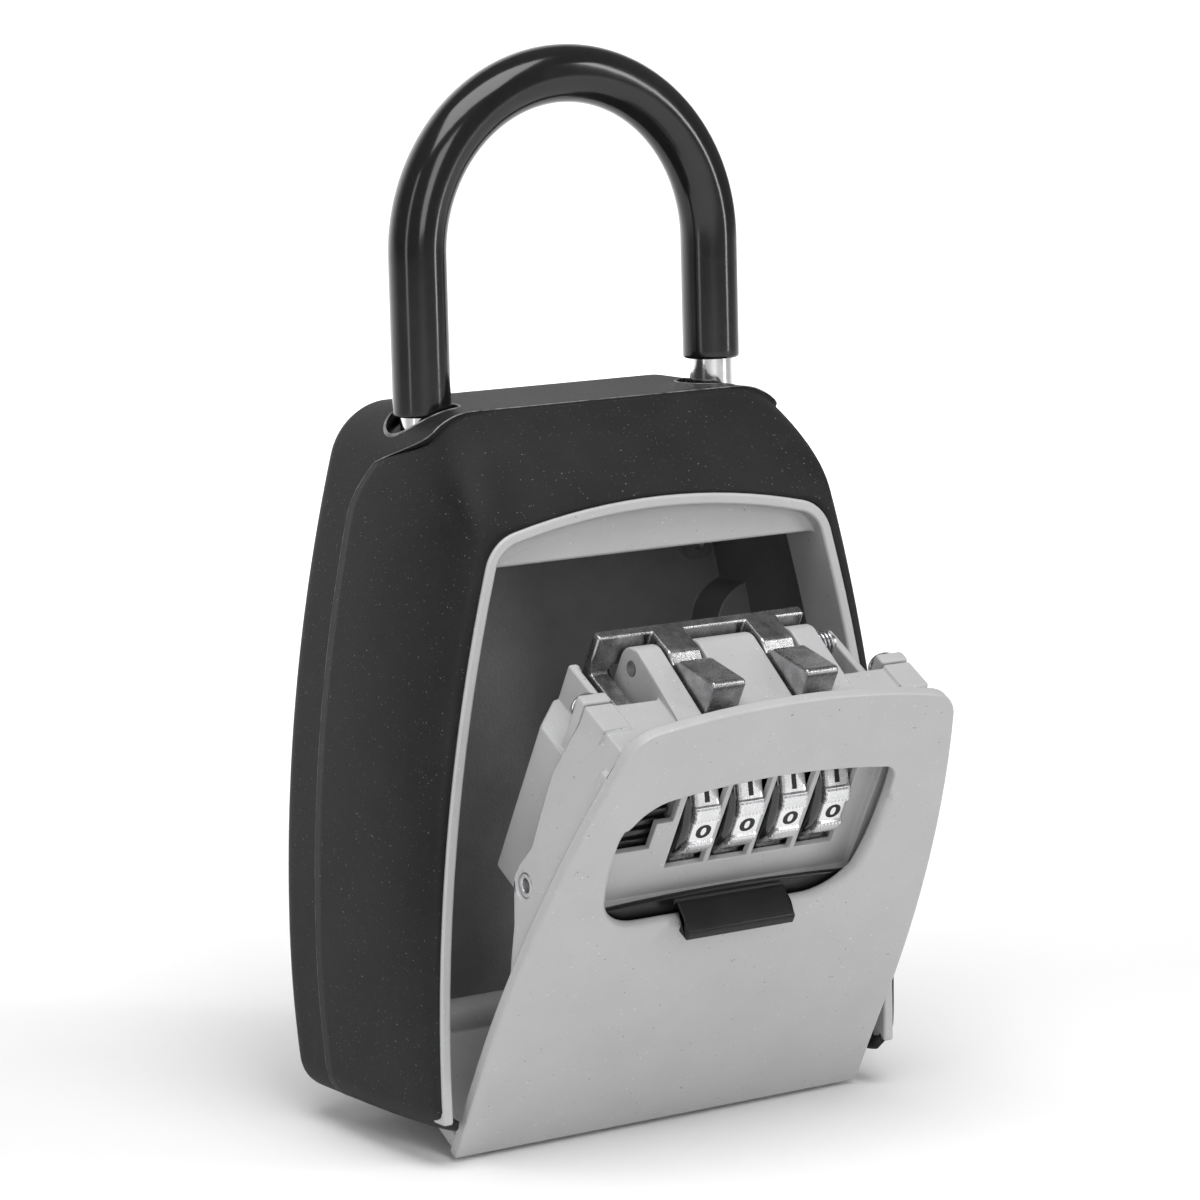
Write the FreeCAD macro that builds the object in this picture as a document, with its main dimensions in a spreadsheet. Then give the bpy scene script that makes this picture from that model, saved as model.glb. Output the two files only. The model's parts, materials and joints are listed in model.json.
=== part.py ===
import FreeCAD, Part
import math
import os

import Sketcher

# Portable key lock box: a padlock-style shackle over a cast box whose front door carries
# four number dials, a release slider and a weather shutter.
# Millimetres, +X to the right seen from the front, +Y to the back, +Z up.
# The origin is the point inside the shackle's crown on which the box hangs.
# Every sub-part is drawn in the box frame: its zero is the shackle's plane at the top of the
# box, with the door shut. A Placement then takes it to where it stands at rest.

doc = FreeCAD.newDocument("KeyLockBox")

# ---------------------------------------------------------------- driving dimensions

DIMENSIONS = [
    # the covers
    ("body_half_width", 42.0, "widest half width of the covers"),
    ("widest_drop", 77.0, "how far below the top they are widest"),
    ("side_curve", 257.6, "radius of the long side curve"),
    ("low_curve", 171.0, "radius of the side curve below the widest place"),
    ("shoulder_round", 10.0, "radius of the top corners"),
    ("foot_round", 5.5, "radius of the bottom corners"),
    ("body_height", 100.5, "top to bottom"),
    ("front_face", 23.4, "front of the cover, ahead of the shackle's plane"),
    ("back_face", 16.0, "back of the cover, behind the shackle's plane"),
    ("parting", 6.0, "parting line of the two covers"),
    ("top_crease", 10.0, "front edge of the flat top"),
    ("cover_wall", 2.0, "wall of the covers"),
    ("cover_front_wall", 3.0, "front wall of the front cover"),
    ("cover_edge", 2.0, "rounding of the covers' edges"),
    ("top_strip_half", 31.2, "half width of the top strip"),
    # the front frame
    ("frame_face", 23.7, "front of the frame's rim"),
    ("frame_half_width", 39.2, "widest half width of the rim"),
    ("frame_widest_drop", 92.0, "where the rim is widest"),
    ("frame_side_curve", 268.0, "radius of the rim's sides"),
    ("frame_corner_x", 23.16, "centre of the rim's top corner"),
    ("frame_corner_drop", 22.0, "centre of the rim's top corner, below the top"),
    ("frame_corner_round", 6.5, "radius of the rim's top corner"),
    ("frame_apex_drop", 12.8, "highest point of the rim, below the top"),
    ("frame_top_curve", 106.6, "radius of the rim's top edge"),
    ("frame_foot_drop", 98.2, "bottom end of the rim"),
    ("skirt_foot_drop", 90.0, "bottom end of the skirt behind the rim"),
    ("rim", 1.7, "width of the rim"),
    ("catch_drop", 20.7, "lower edge of the catch plate"),
    ("catch_front", 21.4, "front of the catch plate"),
    ("catch_back", 17.9, "back of the catch plate"),
    ("frame_back", 13.7, "back of the frame's skirt"),
    # the inner housing
    ("housing_front", 13.4, "front of the inner housing"),
    ("housing_back", 13.9, "back of the inner housing"),
    ("housing_floor", 12.2, "front face of its back wall"),
    ("housing_gap", 2.3, "its outside, in from the covers' outside"),
    ("housing_inside", 4.1, "its inside, in from the covers' outside"),
    ("ceiling_drop", 12.4, "ceiling of the key space"),
    ("ceiling_top_drop", 10.2, "floor of the latch pocket"),
    ("guide_radius", 5.3, "outside of the shackle guides"),
    ("guide_foot_drop", 19.8, "bottom of the shackle guides"),
    ("ring_bore", 4.4, "wide bore that the stop ring slides in"),
    ("ring_bore_top_drop", 5.5, "top of that bore"),
    ("boss_radius", 6.6, "screw bosses at the back corners"),
    ("boss_x", 35.2, "screw bosses, sideways"),
    ("boss_drop", 38.4, "screw bosses, below the top"),
    # the shackle
    ("shackle_half", 25.0, "half the distance between the legs"),
    ("rod_radius", 3.2, "shackle rod"),
    ("rod_clearance", 0.05, "running clearance in the guides"),
    ("sleeve_radius", 4.2, "vinyl sleeve outside"),
    ("crown_height", 21.3, "centre of the crown above the top"),
    ("long_leg_drop", 19.2, "end of the captive leg"),
    ("short_leg_drop", 13.4, "end of the free leg"),
    ("sleeve_end", 3.4, "sleeve end above the top, free leg"),
    ("sleeve_start_drop", 1.2, "sleeve end below the top, captive leg"),
    # the door
    ("hinge_back", 1.3, "hinge axis behind the shackle's plane"),
    ("hinge_drop", 90.5, "hinge axis below the top"),
    ("pin_radius", 1.5, "hinge pin"),
    ("pin_clearance", 0.05, "running clearance of the hinge"),
    ("knuckle", 3.2, "outside of the door's hinge knuckle"),
    ("door_open", 30.0, "angle at which the door stands open"),
    ("plate_foot_drop", 92.2, "bottom edge of the shut door"),
    ("plate_wall", 1.8, "thickness of the door plate"),
    ("plate_half_width", 35.0, "widest half width of the door plate"),
    ("plate_widest", 16.5, "where it is widest, above its bottom edge"),
    ("plate_side_curve", 202.0, "radius of its sides"),
    ("plate_corner_x", 21.84, "centre of its top corner"),
    ("plate_corner_height", 69.02, "centre of its top corner, above its bottom edge"),
    ("plate_corner_round", 6.0, "radius of its top corner"),
    ("plate_top_curve", 121.0, "radius of its top edge"),
    ("plate_height", 77.1, "its height"),
    ("window_half_width", 22.6, "half width of the window"),
    ("side_wall_waist", 9.0, "depth of the door's side walls above the bush"),
    ("side_wall_end", 30.3, "lower end of the side walls, above the bottom edge"),
    ("bush_depth", 7.1, "side bush behind the door's face"),
    ("bush_height", 44.1, "side bush above the door's bottom edge"),
    ("ear_screw_height", 68.7, "ear screws above the door's bottom edge"),
    ("lock_cover_half", 28.0, "half width of the lock's back cover"),
    ("case_depth", 12.0, "depth of the door casting around the lock"),
    ("case_top", 70.5, "top of the lock case"),
    ("case_bottom", 36.5, "bottom of the lock case"),
    ("cover_depth", 24.0, "back of the lock's back cover"),
    # the dials
    ("dial_depth", 13.0, "dial axis behind the door's face"),
    ("dial_height", 51.8, "dial axis above the door's bottom edge"),
    ("dial_flat", 8.9, "dial axis to a number facet"),
    ("dial_flange", 9.0, "finger flange of a dial"),
    ("dial_bore", 6.5, "seat of the number ring on its core"),
    ("dial_pitch", 7.4, "dial spacing"),
    ("first_dial", -7.6, "middle of the first dial's slot"),
    ("shaft_radius", 3.0, "dial shaft"),
    # latch fork
    ("fork_depth", 19.5, "fork pin behind the door's face"),
    ("fork_height", 70.0, "fork pin above the door's bottom edge"),
    ("fork_pin_radius", 1.0, "fork pin"),
    ("nose_inside", 5.1, "inner side of a latch nose"),
    ("nose_outside", 10.6, "outer side of a latch nose"),
    ("nose_front", 7.0, "front of the noses behind the door's face"),
    ("nose_top", 76.0, "top of the noses"),
]
DIALS = 4
FACETS = 10
SCREW_PLACES = [(-29.0, -26.0), (29.0, -26.0), (-33.0, -80.0), (33.0, -80.0)]
SCREW_EARS = ((-27.4, -22.8), (22.8, 27.4))

sheet = doc.addObject("Spreadsheet::Sheet", "Sizes")
for row, (alias, number, meaning) in enumerate(DIMENSIONS, start=1):
    sheet.set("A%d" % row, meaning)
    sheet.set("B%d" % row, str(number))
    sheet.setAlias("B%d" % row, alias)
doc.recompute()


class Size:
    """A length worked out from the sheet: its number now and the formula that keeps it bound."""

    def __init__(self, number, formula):
        self.number = float(number)
        self.formula = formula

    @staticmethod
    def of(thing):
        return thing if isinstance(thing, Size) else Size(thing, repr(float(thing)))

    def combine(self, other, sign, number):
        return Size(number, "(%s %s %s)" % (self.formula, sign, Size.of(other).formula))

    def __add__(self, other):
        return self.combine(other, "+", self.number + Size.of(other).number)

    def __radd__(self, other):
        return Size.of(other) + self

    def __sub__(self, other):
        return self.combine(other, "-", self.number - Size.of(other).number)

    def __rsub__(self, other):
        return Size.of(other) - self

    def __mul__(self, other):
        return self.combine(other, "*", self.number * Size.of(other).number)

    def __rmul__(self, other):
        return Size.of(other) * self

    def __truediv__(self, other):
        return self.combine(other, "/", self.number / Size.of(other).number)

    def __neg__(self):
        return Size(-self.number, "(0 - %s)" % self.formula)

    def root(self):
        return Size(math.sqrt(self.number), "sqrt(%s)" % self.formula)


def dim(alias):
    """A driving dimension, by its alias."""
    return Size(sheet.get(alias), "Sizes." + alias)


# ---------------------------------------------------------------- placements

FACE = dim("frame_face")
FOOT = dim("plate_foot_drop")
TOP_DROP = (dim("crown_height") + dim("shackle_half") - dim("sleeve_radius")).number


def behind(depth):
    """Y of a place so far behind the shut door's face."""
    return depth - FACE


def above(height):
    """Z of a place so far above the shut door's bottom edge."""
    return height - FOOT


def housing_place():
    """From the box frame to the part's own frame."""
    return FreeCAD.Placement(FreeCAD.Vector(0, 0, -TOP_DROP), FreeCAD.Rotation())


def door_place():
    """The housing's placement after the door has swung open about its hinge."""
    hinge = FreeCAD.Vector(0, dim("hinge_back").number, -dim("hinge_drop").number)
    turn = FreeCAD.Rotation(FreeCAD.Vector(1, 0, 0), dim("door_open").number)
    swing = FreeCAD.Placement(hinge - turn.multVec(hinge), turn)
    return housing_place().multiply(swing)


# Turns a prism's axis to X and brings one facet to face the reader, seven degrees up.
READING_TURN = FreeCAD.Rotation(FreeCAD.Vector(1, 0, 0), -1).multiply(
    FreeCAD.Rotation(FreeCAD.Vector(0, 1, 0), 90)).multiply(
    FreeCAD.Rotation(FreeCAD.Vector(0, 0, 1), 90 + 180.0 / FACETS))

PARTS = {}


def finish_part(thing, node, place):
    """Names a sub-part, puts it in its place and keeps it for the export."""
    thing.Label = node
    thing.Placement = place
    PARTS[node] = thing
    return thing


# ---------------------------------------------------------------- sketches and features

PLANES = {"XY": "XY_Plane", "XZ": "XZ_Plane", "YZ": "YZ_Plane"}


def new_body(name):
    return doc.addObject("PartDesign::Body", name)


def origin_plane(body, plane):
    for feature in body.Origin.OriginFeatures:
        if feature.Role == PLANES[plane]:
            return feature
    raise RuntimeError("no plane " + plane)


def pin_point(sketch, edge, end, across, upward):
    """Fixes one end of an edge at a place bound to the sheet."""
    for kind, axis, size in (("DistanceX", -2, across), ("DistanceY", -1, upward)):
        size = Size.of(size)
        if size.number == 0.0:
            sketch.addConstraint(Sketcher.Constraint("PointOnObject", edge, end, axis))
            continue
        index = sketch.addConstraint(Sketcher.Constraint(kind, -1, 1, edge, end, size.number))
        sketch.setExpression("Constraints[%d]" % index, size.formula)


def bow(start, end, radius):
    """An arc that bulges to the right of the way from start to end."""
    middle = (start + end) * 0.5
    half = (end - start).Length / 2
    left = FreeCAD.Vector(start.y - end.y, end.x - start.x, 0).normalize()
    centre = middle + left * math.sqrt(radius * radius - half * half)
    first = math.atan2(start.y - centre.y, start.x - centre.x)
    last = math.atan2(end.y - centre.y, end.x - centre.x)
    circle = Part.Circle(centre, FreeCAD.Vector(0, 0, 1), radius)
    return Part.ArcOfCircle(circle, first, last if last > first else last + 2 * math.pi)


def draw_loop(sketch, corners):
    """Draws a closed loop, anticlockwise. A corner is (across, upward) or, where the edge that
    leaves it is an arc, (across, upward, radius)."""
    points = [FreeCAD.Vector(Size.of(c[0]).number, Size.of(c[1]).number, 0) for c in corners]
    first = sketch.GeometryCount
    for index, corner in enumerate(corners):
        start = points[index]
        end = points[(index + 1) % len(points)]
        if len(corner) == 3:
            radius = Size.of(corner[2])
            edge = sketch.addGeometry(bow(start, end, radius.number), False)
            bend = sketch.addConstraint(Sketcher.Constraint("Radius", edge, radius.number))
            sketch.setExpression("Constraints[%d]" % bend, radius.formula)
        else:
            edge = sketch.addGeometry(Part.LineSegment(start, end), False)
        pin_point(sketch, edge, 1, corner[0], corner[1])
    count = len(corners)
    for index in range(count):
        following = first + (index + 1) % count
        sketch.addConstraint(Sketcher.Constraint("Coincident", first + index, 2, following, 1))


def draw_circle(sketch, across, upward, radius):
    centre = FreeCAD.Vector(Size.of(across).number, Size.of(upward).number, 0)
    radius = Size.of(radius)
    edge = sketch.addGeometry(Part.Circle(centre, FreeCAD.Vector(0, 0, 1), radius.number), False)
    index = sketch.addConstraint(Sketcher.Constraint("Radius", edge, radius.number))
    sketch.setExpression("Constraints[%d]" % index, radius.formula)
    pin_point(sketch, edge, 3, across, upward)


def new_sketch(body, plane, offset, loops=(), circles=()):
    """A sketch on one of the body's own planes, moved along that plane's normal."""
    sketch = body.newObject("Sketcher::SketchObject", body.Name + "Sketch")
    sketch.AttachmentSupport = [(origin_plane(body, plane), "")]
    sketch.MapMode = "FlatFace"
    offset = Size.of(offset)
    sketch.AttachmentOffset = FreeCAD.Placement(FreeCAD.Vector(0, 0, offset.number), FreeCAD.Rotation())
    sketch.setExpression("AttachmentOffset.Base.z", offset.formula)
    for loop in loops:
        draw_loop(sketch, loop)
    for circle in circles:
        draw_circle(sketch, *circle)
    return sketch


def extrude(body, kind, sketch, length):
    feature = body.newObject("PartDesign::" + kind, body.Name + kind)
    feature.Profile = sketch
    length = Size.of(length)
    feature.Length = length.number
    feature.setExpression("Length", length.formula)
    before = body.Shape.Volume if kind == "Pocket" and body.Shape.Solids else 0.0
    doc.recompute()
    if kind == "Pocket" and feature.Shape.Volume > before - 0.01:
        raise RuntimeError(body.Name + " has a pocket that cuts nothing")
    sketch.Visibility = False
    return feature


def pad_front(body, front, back, loops=(), circles=()):
    """Material between two places in Y, drawn as seen from the front."""
    return extrude(body, "Pad", new_sketch(body, "XZ", -Size.of(back), loops, circles), back - front)


def cut_front(body, front, back, loops=(), circles=()):
    """Takes away what lies between two places in Y, drawn as seen from the front."""
    return extrude(body, "Pocket", new_sketch(body, "XZ", -Size.of(front), loops, circles), back - front)


def pad_side(body, left, right, loops=(), circles=()):
    """Material between two places in X, drawn as seen from the right."""
    return extrude(body, "Pad", new_sketch(body, "YZ", left, loops, circles), right - left)


def cut_side(body, left, right, loops=(), circles=()):
    return extrude(body, "Pocket", new_sketch(body, "YZ", right, loops, circles), right - left)


def cut_top(body, low, high, loops=(), circles=()):
    """Takes away what lies between two heights, drawn as seen from above."""
    return extrude(body, "Pocket", new_sketch(body, "XY", high, loops, circles), high - low)


def frame_loop(left, right, low, high):
    return [(left, low), (right, low), (right, high), (left, high)]


def dress(body, kind, chosen, size):
    """Rounds or bevels the edges of the body's last shape that a test picks."""
    base = body.Tip
    names = []
    for index, edge in enumerate(base.Shape.Edges, start=1):
        if chosen(edge.BoundBox):
            names.append("Edge%d" % index)
    feature = body.newObject("PartDesign::" + kind, body.Name + kind)
    feature.Base = (base, names)
    prop = "Radius" if kind == "Fillet" else "Size"
    size = Size.of(size)
    setattr(feature, prop, size.number)
    feature.setExpression(prop, size.formula)
    doc.recompute()
    return feature


# ---------------------------------------------------------------- primitives and booleans


def bind(thing, prop, size):
    size = Size.of(size)
    thing.setExpression(prop, size.formula)


def box(left, right, front, back, low, high):
    thing = doc.addObject("Part::Box", "Block")
    bind(thing, "Length", right - left)
    bind(thing, "Width", back - front)
    bind(thing, "Height", high - low)
    for axis, size in zip("xyz", (left, front, low)):
        bind(thing, "Placement.Base." + axis, size)
    return thing


TURNS = {
    "X": FreeCAD.Rotation(FreeCAD.Vector(0, 1, 0), 90),
    "Y": FreeCAD.Rotation(FreeCAD.Vector(1, 0, 0), -90),
    "Z": FreeCAD.Rotation(),
}


def rod(axis, start, radius, length):
    """A cylinder from a start point along +X, +Y or +Z."""
    thing = doc.addObject("Part::Cylinder", "Rod")
    thing.Placement = FreeCAD.Placement(FreeCAD.Vector(), TURNS[axis])
    bind(thing, "Radius", radius)
    bind(thing, "Height", length)
    for name, size in zip("xyz", start):
        bind(thing, "Placement.Base." + name, size)
    return thing


def fuse(things):
    joined = doc.addObject("Part::MultiFuse", "Joined")
    joined.Shapes = things
    joined.Refine = True
    return joined


def cut(base, tools):
    tool = tools[0] if len(tools) == 1 else fuse(tools)
    result = doc.addObject("Part::Cut", "Cut")
    result.Base = base
    result.Tool = tool
    result.Refine = True
    return result


# ---------------------------------------------------------------- outlines


def cover_outline(inset=0.0):
    """Outline of the covers as seen from the front, moved in by inset. Its corner circles touch
    the side curves from inside."""
    wide = dim("body_half_width")
    drop = dim("widest_drop")
    height = dim("body_height")
    top_round = dim("shoulder_round")
    foot_round = dim("foot_round")

    def corner(curve, size, upward):
        """Centre and touching point of a corner circle on a side curve."""
        rise = upward + drop
        reach = curve - size
        run = (reach * reach - rise * rise).root()
        middle = wide - curve + run
        grow = size - inset
        return middle, (middle + grow * run / reach, upward + grow * rise / reach)

    top_x, top_touch = corner(dim("side_curve"), top_round, -top_round)
    foot_x, foot_touch = corner(dim("low_curve"), foot_round, foot_round - height)
    right = [
        (foot_x, inset - height, foot_round - inset),
        (foot_touch[0], foot_touch[1], dim("low_curve") - inset),
        (wide - inset, -drop, dim("side_curve") - inset),
        (top_touch[0], top_touch[1], top_round - inset),
        (top_x, -inset),
    ]
    left = [
        (-top_x, -inset, top_round - inset),
        (-top_touch[0], top_touch[1], dim("side_curve") - inset),
        (inset - wide, -drop, dim("low_curve") - inset),
        (-foot_touch[0], foot_touch[1], foot_round - inset),
        (-foot_x, inset - height),
    ]
    return right + left


def arch(side_x, side_z, side_curve, corner_x, corner_z, corner_round, top_curve, foot, inset,
         flat_top=None):
    """An arched outline with curved sides, two top corners and a curved top edge."""
    centre_x = side_x - side_curve
    reach = side_curve - corner_round
    grow = corner_round - inset
    side = (corner_x + grow * (corner_x - centre_x) / reach, corner_z + grow * (corner_z - side_z) / reach)
    radius = side_curve - inset

    def half_width(upward):
        rise = upward - side_z
        return centre_x + (radius * radius - rise * rise).root()

    foot_x = half_width(foot)
    if flat_top is not None:
        top_x = half_width(flat_top)
        return [(-foot_x, foot), (foot_x, foot, radius), (top_x, flat_top), (-top_x, flat_top, radius)]
    lean = corner_x / (top_curve - corner_round)
    lift = (1.0 - lean * lean).root()
    crown = (corner_x + grow * lean, corner_z + grow * lift)
    return [
        (-foot_x, foot),
        (foot_x, foot, radius),
        (side[0], side[1], grow),
        (crown[0], crown[1], top_curve - inset),
        (-crown[0], crown[1], grow),
        (-side[0], side[1], radius),
    ]


def frame_outline(inset=0.0, foot=None, flat_top=None):
    """Outline of the front frame's rim."""
    foot = -dim("frame_foot_drop") if foot is None else foot
    return arch(dim("frame_half_width"), -dim("frame_widest_drop"), dim("frame_side_curve"),
                dim("frame_corner_x"), -dim("frame_corner_drop"), dim("frame_corner_round"),
                dim("frame_top_curve"), foot, inset, flat_top)


def plate_outline(inset=0.0, flat_top=None):
    """Outline of the door plate, from its bottom edge. Below its widest place it is straight,
    so that stretch is left to the caller."""
    return arch(dim("plate_half_width"), above(dim("plate_widest")), dim("plate_side_curve"),
                dim("plate_corner_x"), above(dim("plate_corner_height")), dim("plate_corner_round"),
                dim("plate_top_curve"), above(dim("plate_widest")), inset, flat_top)


def plate_loop(inset=0.0, flat_top=None, foot=0.0):
    """The whole door plate outline with its straight lower stretch."""
    half = dim("plate_half_width") - inset
    upper = plate_outline(inset, flat_top)
    return [(-half, above(foot)), (half, above(foot))] + upper[1:] + [upper[0]]


# ---------------------------------------------------------------- housing


def make_front_cover():
    """Black front shell with the frame's opening, open to the bottom for the door's sweep."""
    body = new_body("FrontCover")
    front = -dim("front_face")
    back = dim("parting")
    pad_front(body, front, back, [cover_outline()])
    dress(body, "Fillet", lambda b: b.YMax < front.number + 0.01, dim("cover_edge"))
    cut_front(body, front + dim("cover_front_wall"), back, [cover_outline(dim("cover_wall"))])
    cut_front(body, front - 1.0, front + dim("cover_front_wall"),
              [frame_outline(-0.1, -(dim("body_height") + 1.0))])
    half = dim("plate_half_width") + 1.6
    bottom = -dim("body_height")
    cut_front(body, front - 1.0, back, [frame_loop(-half, half, bottom - 1.0, bottom + 6.0)])
    strip = dim("top_strip_half") + 0.1
    cut_front(body, -dim("top_crease"), back, [frame_loop(-strip, strip, -6.0, 1.0)])
    finish_part(body, "front_cover", housing_place())


def make_rear_cover():
    """Black rear shell with the flat top strip that the shackle passes through."""
    body = new_body("RearCover")
    front = -dim("top_crease")
    back = dim("back_face")
    pad_front(body, front, back, [cover_outline()])
    dress(body, "Fillet", lambda b: b.YMin > back.number - 0.01, dim("cover_edge"))
    cut_front(body, front, back - dim("cover_wall"), [cover_outline(dim("cover_wall"))])
    strip = dim("top_strip_half")
    far = dim("body_half_width") + 10.0
    low = -dim("body_height") - 10.0
    around = [(-far, low), (far, low), (far, 5.0), (strip, 5.0), (strip, -6.0), (-strip, -6.0),
              (-strip, 5.0), (-far, 5.0)]
    cut_front(body, front - 0.1, dim("parting"), [around])
    legs = [(sign * dim("shackle_half"), 0.0, dim("sleeve_radius") + 1.0) for sign in (-1, 1)]
    cut_top(body, -8.0, 1.0, circles=legs)
    holes = [(x, z, 1.2) for x, z in SCREW_PLACES]
    cut_front(body, back - dim("cover_wall") - 0.5, back - 0.9, circles=holes)
    finish_part(body, "rear_cover", housing_place())


def make_front_frame():
    """Grey cast frame: a rim round the door, a skirt behind it and the catch plate at the top."""
    body = new_body("FrontFrame")
    front = -FACE
    back = -dim("frame_back")
    low = -dim("frame_foot_drop") - 1.0
    inside = dim("rim")
    pad_front(body, front, back, [frame_outline()])
    cut_front(body, front - 1.0, -dim("catch_front"), [frame_outline(inside, low)])
    cut_front(body, -dim("catch_front"), -dim("catch_back"),
              [frame_outline(inside, low, -dim("catch_drop"))])
    cut_front(body, -dim("catch_back"), back, [frame_outline(inside, low)])
    far = dim("frame_half_width") + 5.0
    cut_front(body, -dim("front_face") + dim("cover_front_wall") - 0.2, back + 1.0,
              [frame_loop(-far, far, low, -dim("skirt_foot_drop"))])
    finish_part(body, "front_frame", housing_place())


def make_inner_housing():
    """Dark cast box that holds the keys, with the shackle guides and the hinge pin's seats."""
    body = new_body("InnerHousing")
    front = -dim("housing_front")
    back = dim("housing_back")
    pad_front(body, front, back, [cover_outline(dim("housing_gap"))])
    inside = dim("housing_inside")
    ceiling = -dim("ceiling_drop")
    outline = cover_outline(inside)
    rise = ceiling + dim("widest_drop")
    radius = dim("side_curve") - inside
    reach = dim("body_half_width") - dim("side_curve") + (radius * radius - rise * rise).root()
    space = outline[:2] + [outline[2], (reach, ceiling), (-reach, ceiling, radius)] + outline[7:]
    cut_front(body, front, dim("housing_floor"), [space])
    half = dim("plate_half_width") + 1.6
    bottom = -dim("body_height")
    cut_front(body, front, dim("parting"), [frame_loop(-half, half, bottom, bottom + 8.0)])
    for sign in (-1, 1):
        guide = new_sketch(body, "XY", -dim("guide_foot_drop"),
                           circles=[(sign * dim("shackle_half"), 0.0, dim("guide_radius"))])
        extrude(body, "Pad", guide, dim("guide_foot_drop") - dim("ceiling_top_drop"))
    bosses = [(sign * dim("boss_x"), -dim("boss_drop"), dim("boss_radius")) for sign in (-1, 1)]
    boss_sketch = new_sketch(body, "XZ", -(dim("housing_floor") + 1.0), circles=[bosses[0]])
    extrude(body, "Pad", boss_sketch, 8.0)
    boss_sketch = new_sketch(body, "XZ", -(dim("housing_floor") + 1.0), circles=[bosses[1]])
    extrude(body, "Pad", boss_sketch, 8.0)
    far = dim("body_half_width") + 6.0
    trim = [(-far, bottom), (-far, 0.0), (far, 0.0), (far, bottom)]
    outer = cover_outline(dim("housing_gap"))
    cut_front(body, front, back, [trim, outer])
    bore = dim("rod_radius") + dim("rod_clearance")
    legs = [(sign * dim("shackle_half"), 0.0, bore) for sign in (-1, 1)]
    cut_top(body, -24.0, 0.0, circles=legs)
    wide = [(-dim("shackle_half"), 0.0, dim("ring_bore"))]
    cut_top(body, -24.0, -dim("ring_bore_top_drop"), circles=wide)
    latch = [frame_loop(-20.5, 20.5, -9.0, 9.6)]
    cut_top(body, -dim("ceiling_top_drop"), 0.0, latch)
    tunnel = [frame_loop(20.0, 24.0, -3.4, 3.4)]
    cut_top(body, -8.8, 0.0, tunnel)
    slot = [frame_loop(-8.0, 4.6, 5.4, 9.4)]
    cut_top(body, -14.0, -dim("ceiling_top_drop") + 0.5, slot)
    pin = [(dim("hinge_back"), -dim("hinge_drop"), dim("pin_radius") + 0.02)]
    cut_side(body, -far, far, circles=pin)
    holes = [(x, z, 1.25) for x, z in SCREW_PLACES]
    cut_front(body, dim("housing_floor") - 0.5, back + 0.5, circles=holes)
    finish_part(body, "inner_housing", housing_place())


def make_hinge_pin():
    half = dim("body_half_width") - 3.2
    pin = rod("X", (-half, dim("hinge_back"), -dim("hinge_drop")), dim("pin_radius"), half * 2.0)
    finish_part(compound([pin]), "hinge_pin", housing_place())


def make_housing_screws():
    """Four pan-head screws that hold the rear cover from inside the key space."""
    pieces = []
    for across, upward in SCREW_PLACES:
        head = rod("Y", (across, dim("housing_floor") - 1.9, upward), 2.5, 1.9)
        length = dim("back_face") - dim("housing_floor") - 1.2
        shank = rod("Y", (across, dim("housing_floor") - 0.1, upward), 1.15, length)
        recess = rod("Y", (across, dim("housing_floor") - 2.4, upward), 1.0, 1.4)
        pieces.append(cut(fuse([head, shank]), [recess]))
    finish_part(compound(pieces), "housing_screws", housing_place())


def compound(things):
    group = doc.addObject("Part::Compound", "Group")
    group.Links = things
    return group


# ---------------------------------------------------------------- shackle and its latch


def bow_solid(radius, low_left, low_right):
    """A bent rod: two legs and a half-round crown."""
    half = dim("shackle_half")
    crown = dim("crown_height")
    ring = doc.addObject("Part::Torus", "Crown")
    ring.Angle3 = 180
    ring.Placement = FreeCAD.Placement(FreeCAD.Vector(), FreeCAD.Rotation(FreeCAD.Vector(1, 0, 0), 90))
    bind(ring, "Radius1", half)
    bind(ring, "Radius2", radius)
    bind(ring, "Placement.Base.z", crown)
    left = rod("Z", (-half, 0.0, low_left), radius, crown - low_left)
    right = rod("Z", (half, 0.0, low_right), radius, crown - low_right)
    return fuse([ring, left, right])


def make_shackle():
    half = dim("shackle_half")
    bar = bow_solid(dim("rod_radius"), -dim("long_leg_drop"), -dim("short_leg_drop"))
    notch = box(half - 5.0, half - 1.8, -5.0, 5.0, -8.4, -5.6)
    wide = rod("Z", (-half, 0.0, -18.0), 4.0, 1.2)
    core = rod("Z", (-half, 0.0, -19.0), 2.6, 3.0)
    groove = cut(wide, [core])
    finish_part(cut(bar, [notch, groove]), "shackle", housing_place())


def make_sleeve():
    outside = bow_solid(dim("sleeve_radius"), -dim("sleeve_start_drop"), dim("sleeve_end"))
    inside = bow_solid(dim("rod_radius") + 0.02, -dim("sleeve_start_drop") - 1.0, dim("sleeve_end") - 1.0)
    finish_part(cut(outside, [inside]), "shackle_sleeve", housing_place())


def make_stop_ring():
    """Snap ring in the captive leg's groove. It stops the shackle at the top of its travel."""
    half = dim("shackle_half")
    ring = rod("Z", (-half, 0.0, -17.9), dim("ring_bore") - 0.3, 1.0)
    hole = rod("Z", (-half, 0.0, -18.5), 2.65, 3.0)
    gap = box(-half - 5.0, -half - 1.5, -1.0, 1.0, -19.0, -16.0)
    finish_part(cut(ring, [hole, gap]), "stop_ring", housing_place())


def make_shackle_latch():
    """Bar that slides into the free leg's notch, with a finger tab in the key space. It stands
    drawn back, so that the shackle can lift."""
    bar = box(-14.0, dim("shackle_half") - 5.2, -3.0, 3.0, -8.0, -6.0)
    bridge = box(-7.0, 1.0, 2.5, 8.6, -8.0, -6.0)
    tab = box(-7.0, 1.0, 6.4, 8.6, -18.5, -7.5)
    finish_part(fuse([bar, bridge, tab]), "shackle_latch", housing_place())


# ---------------------------------------------------------------- door


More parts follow.
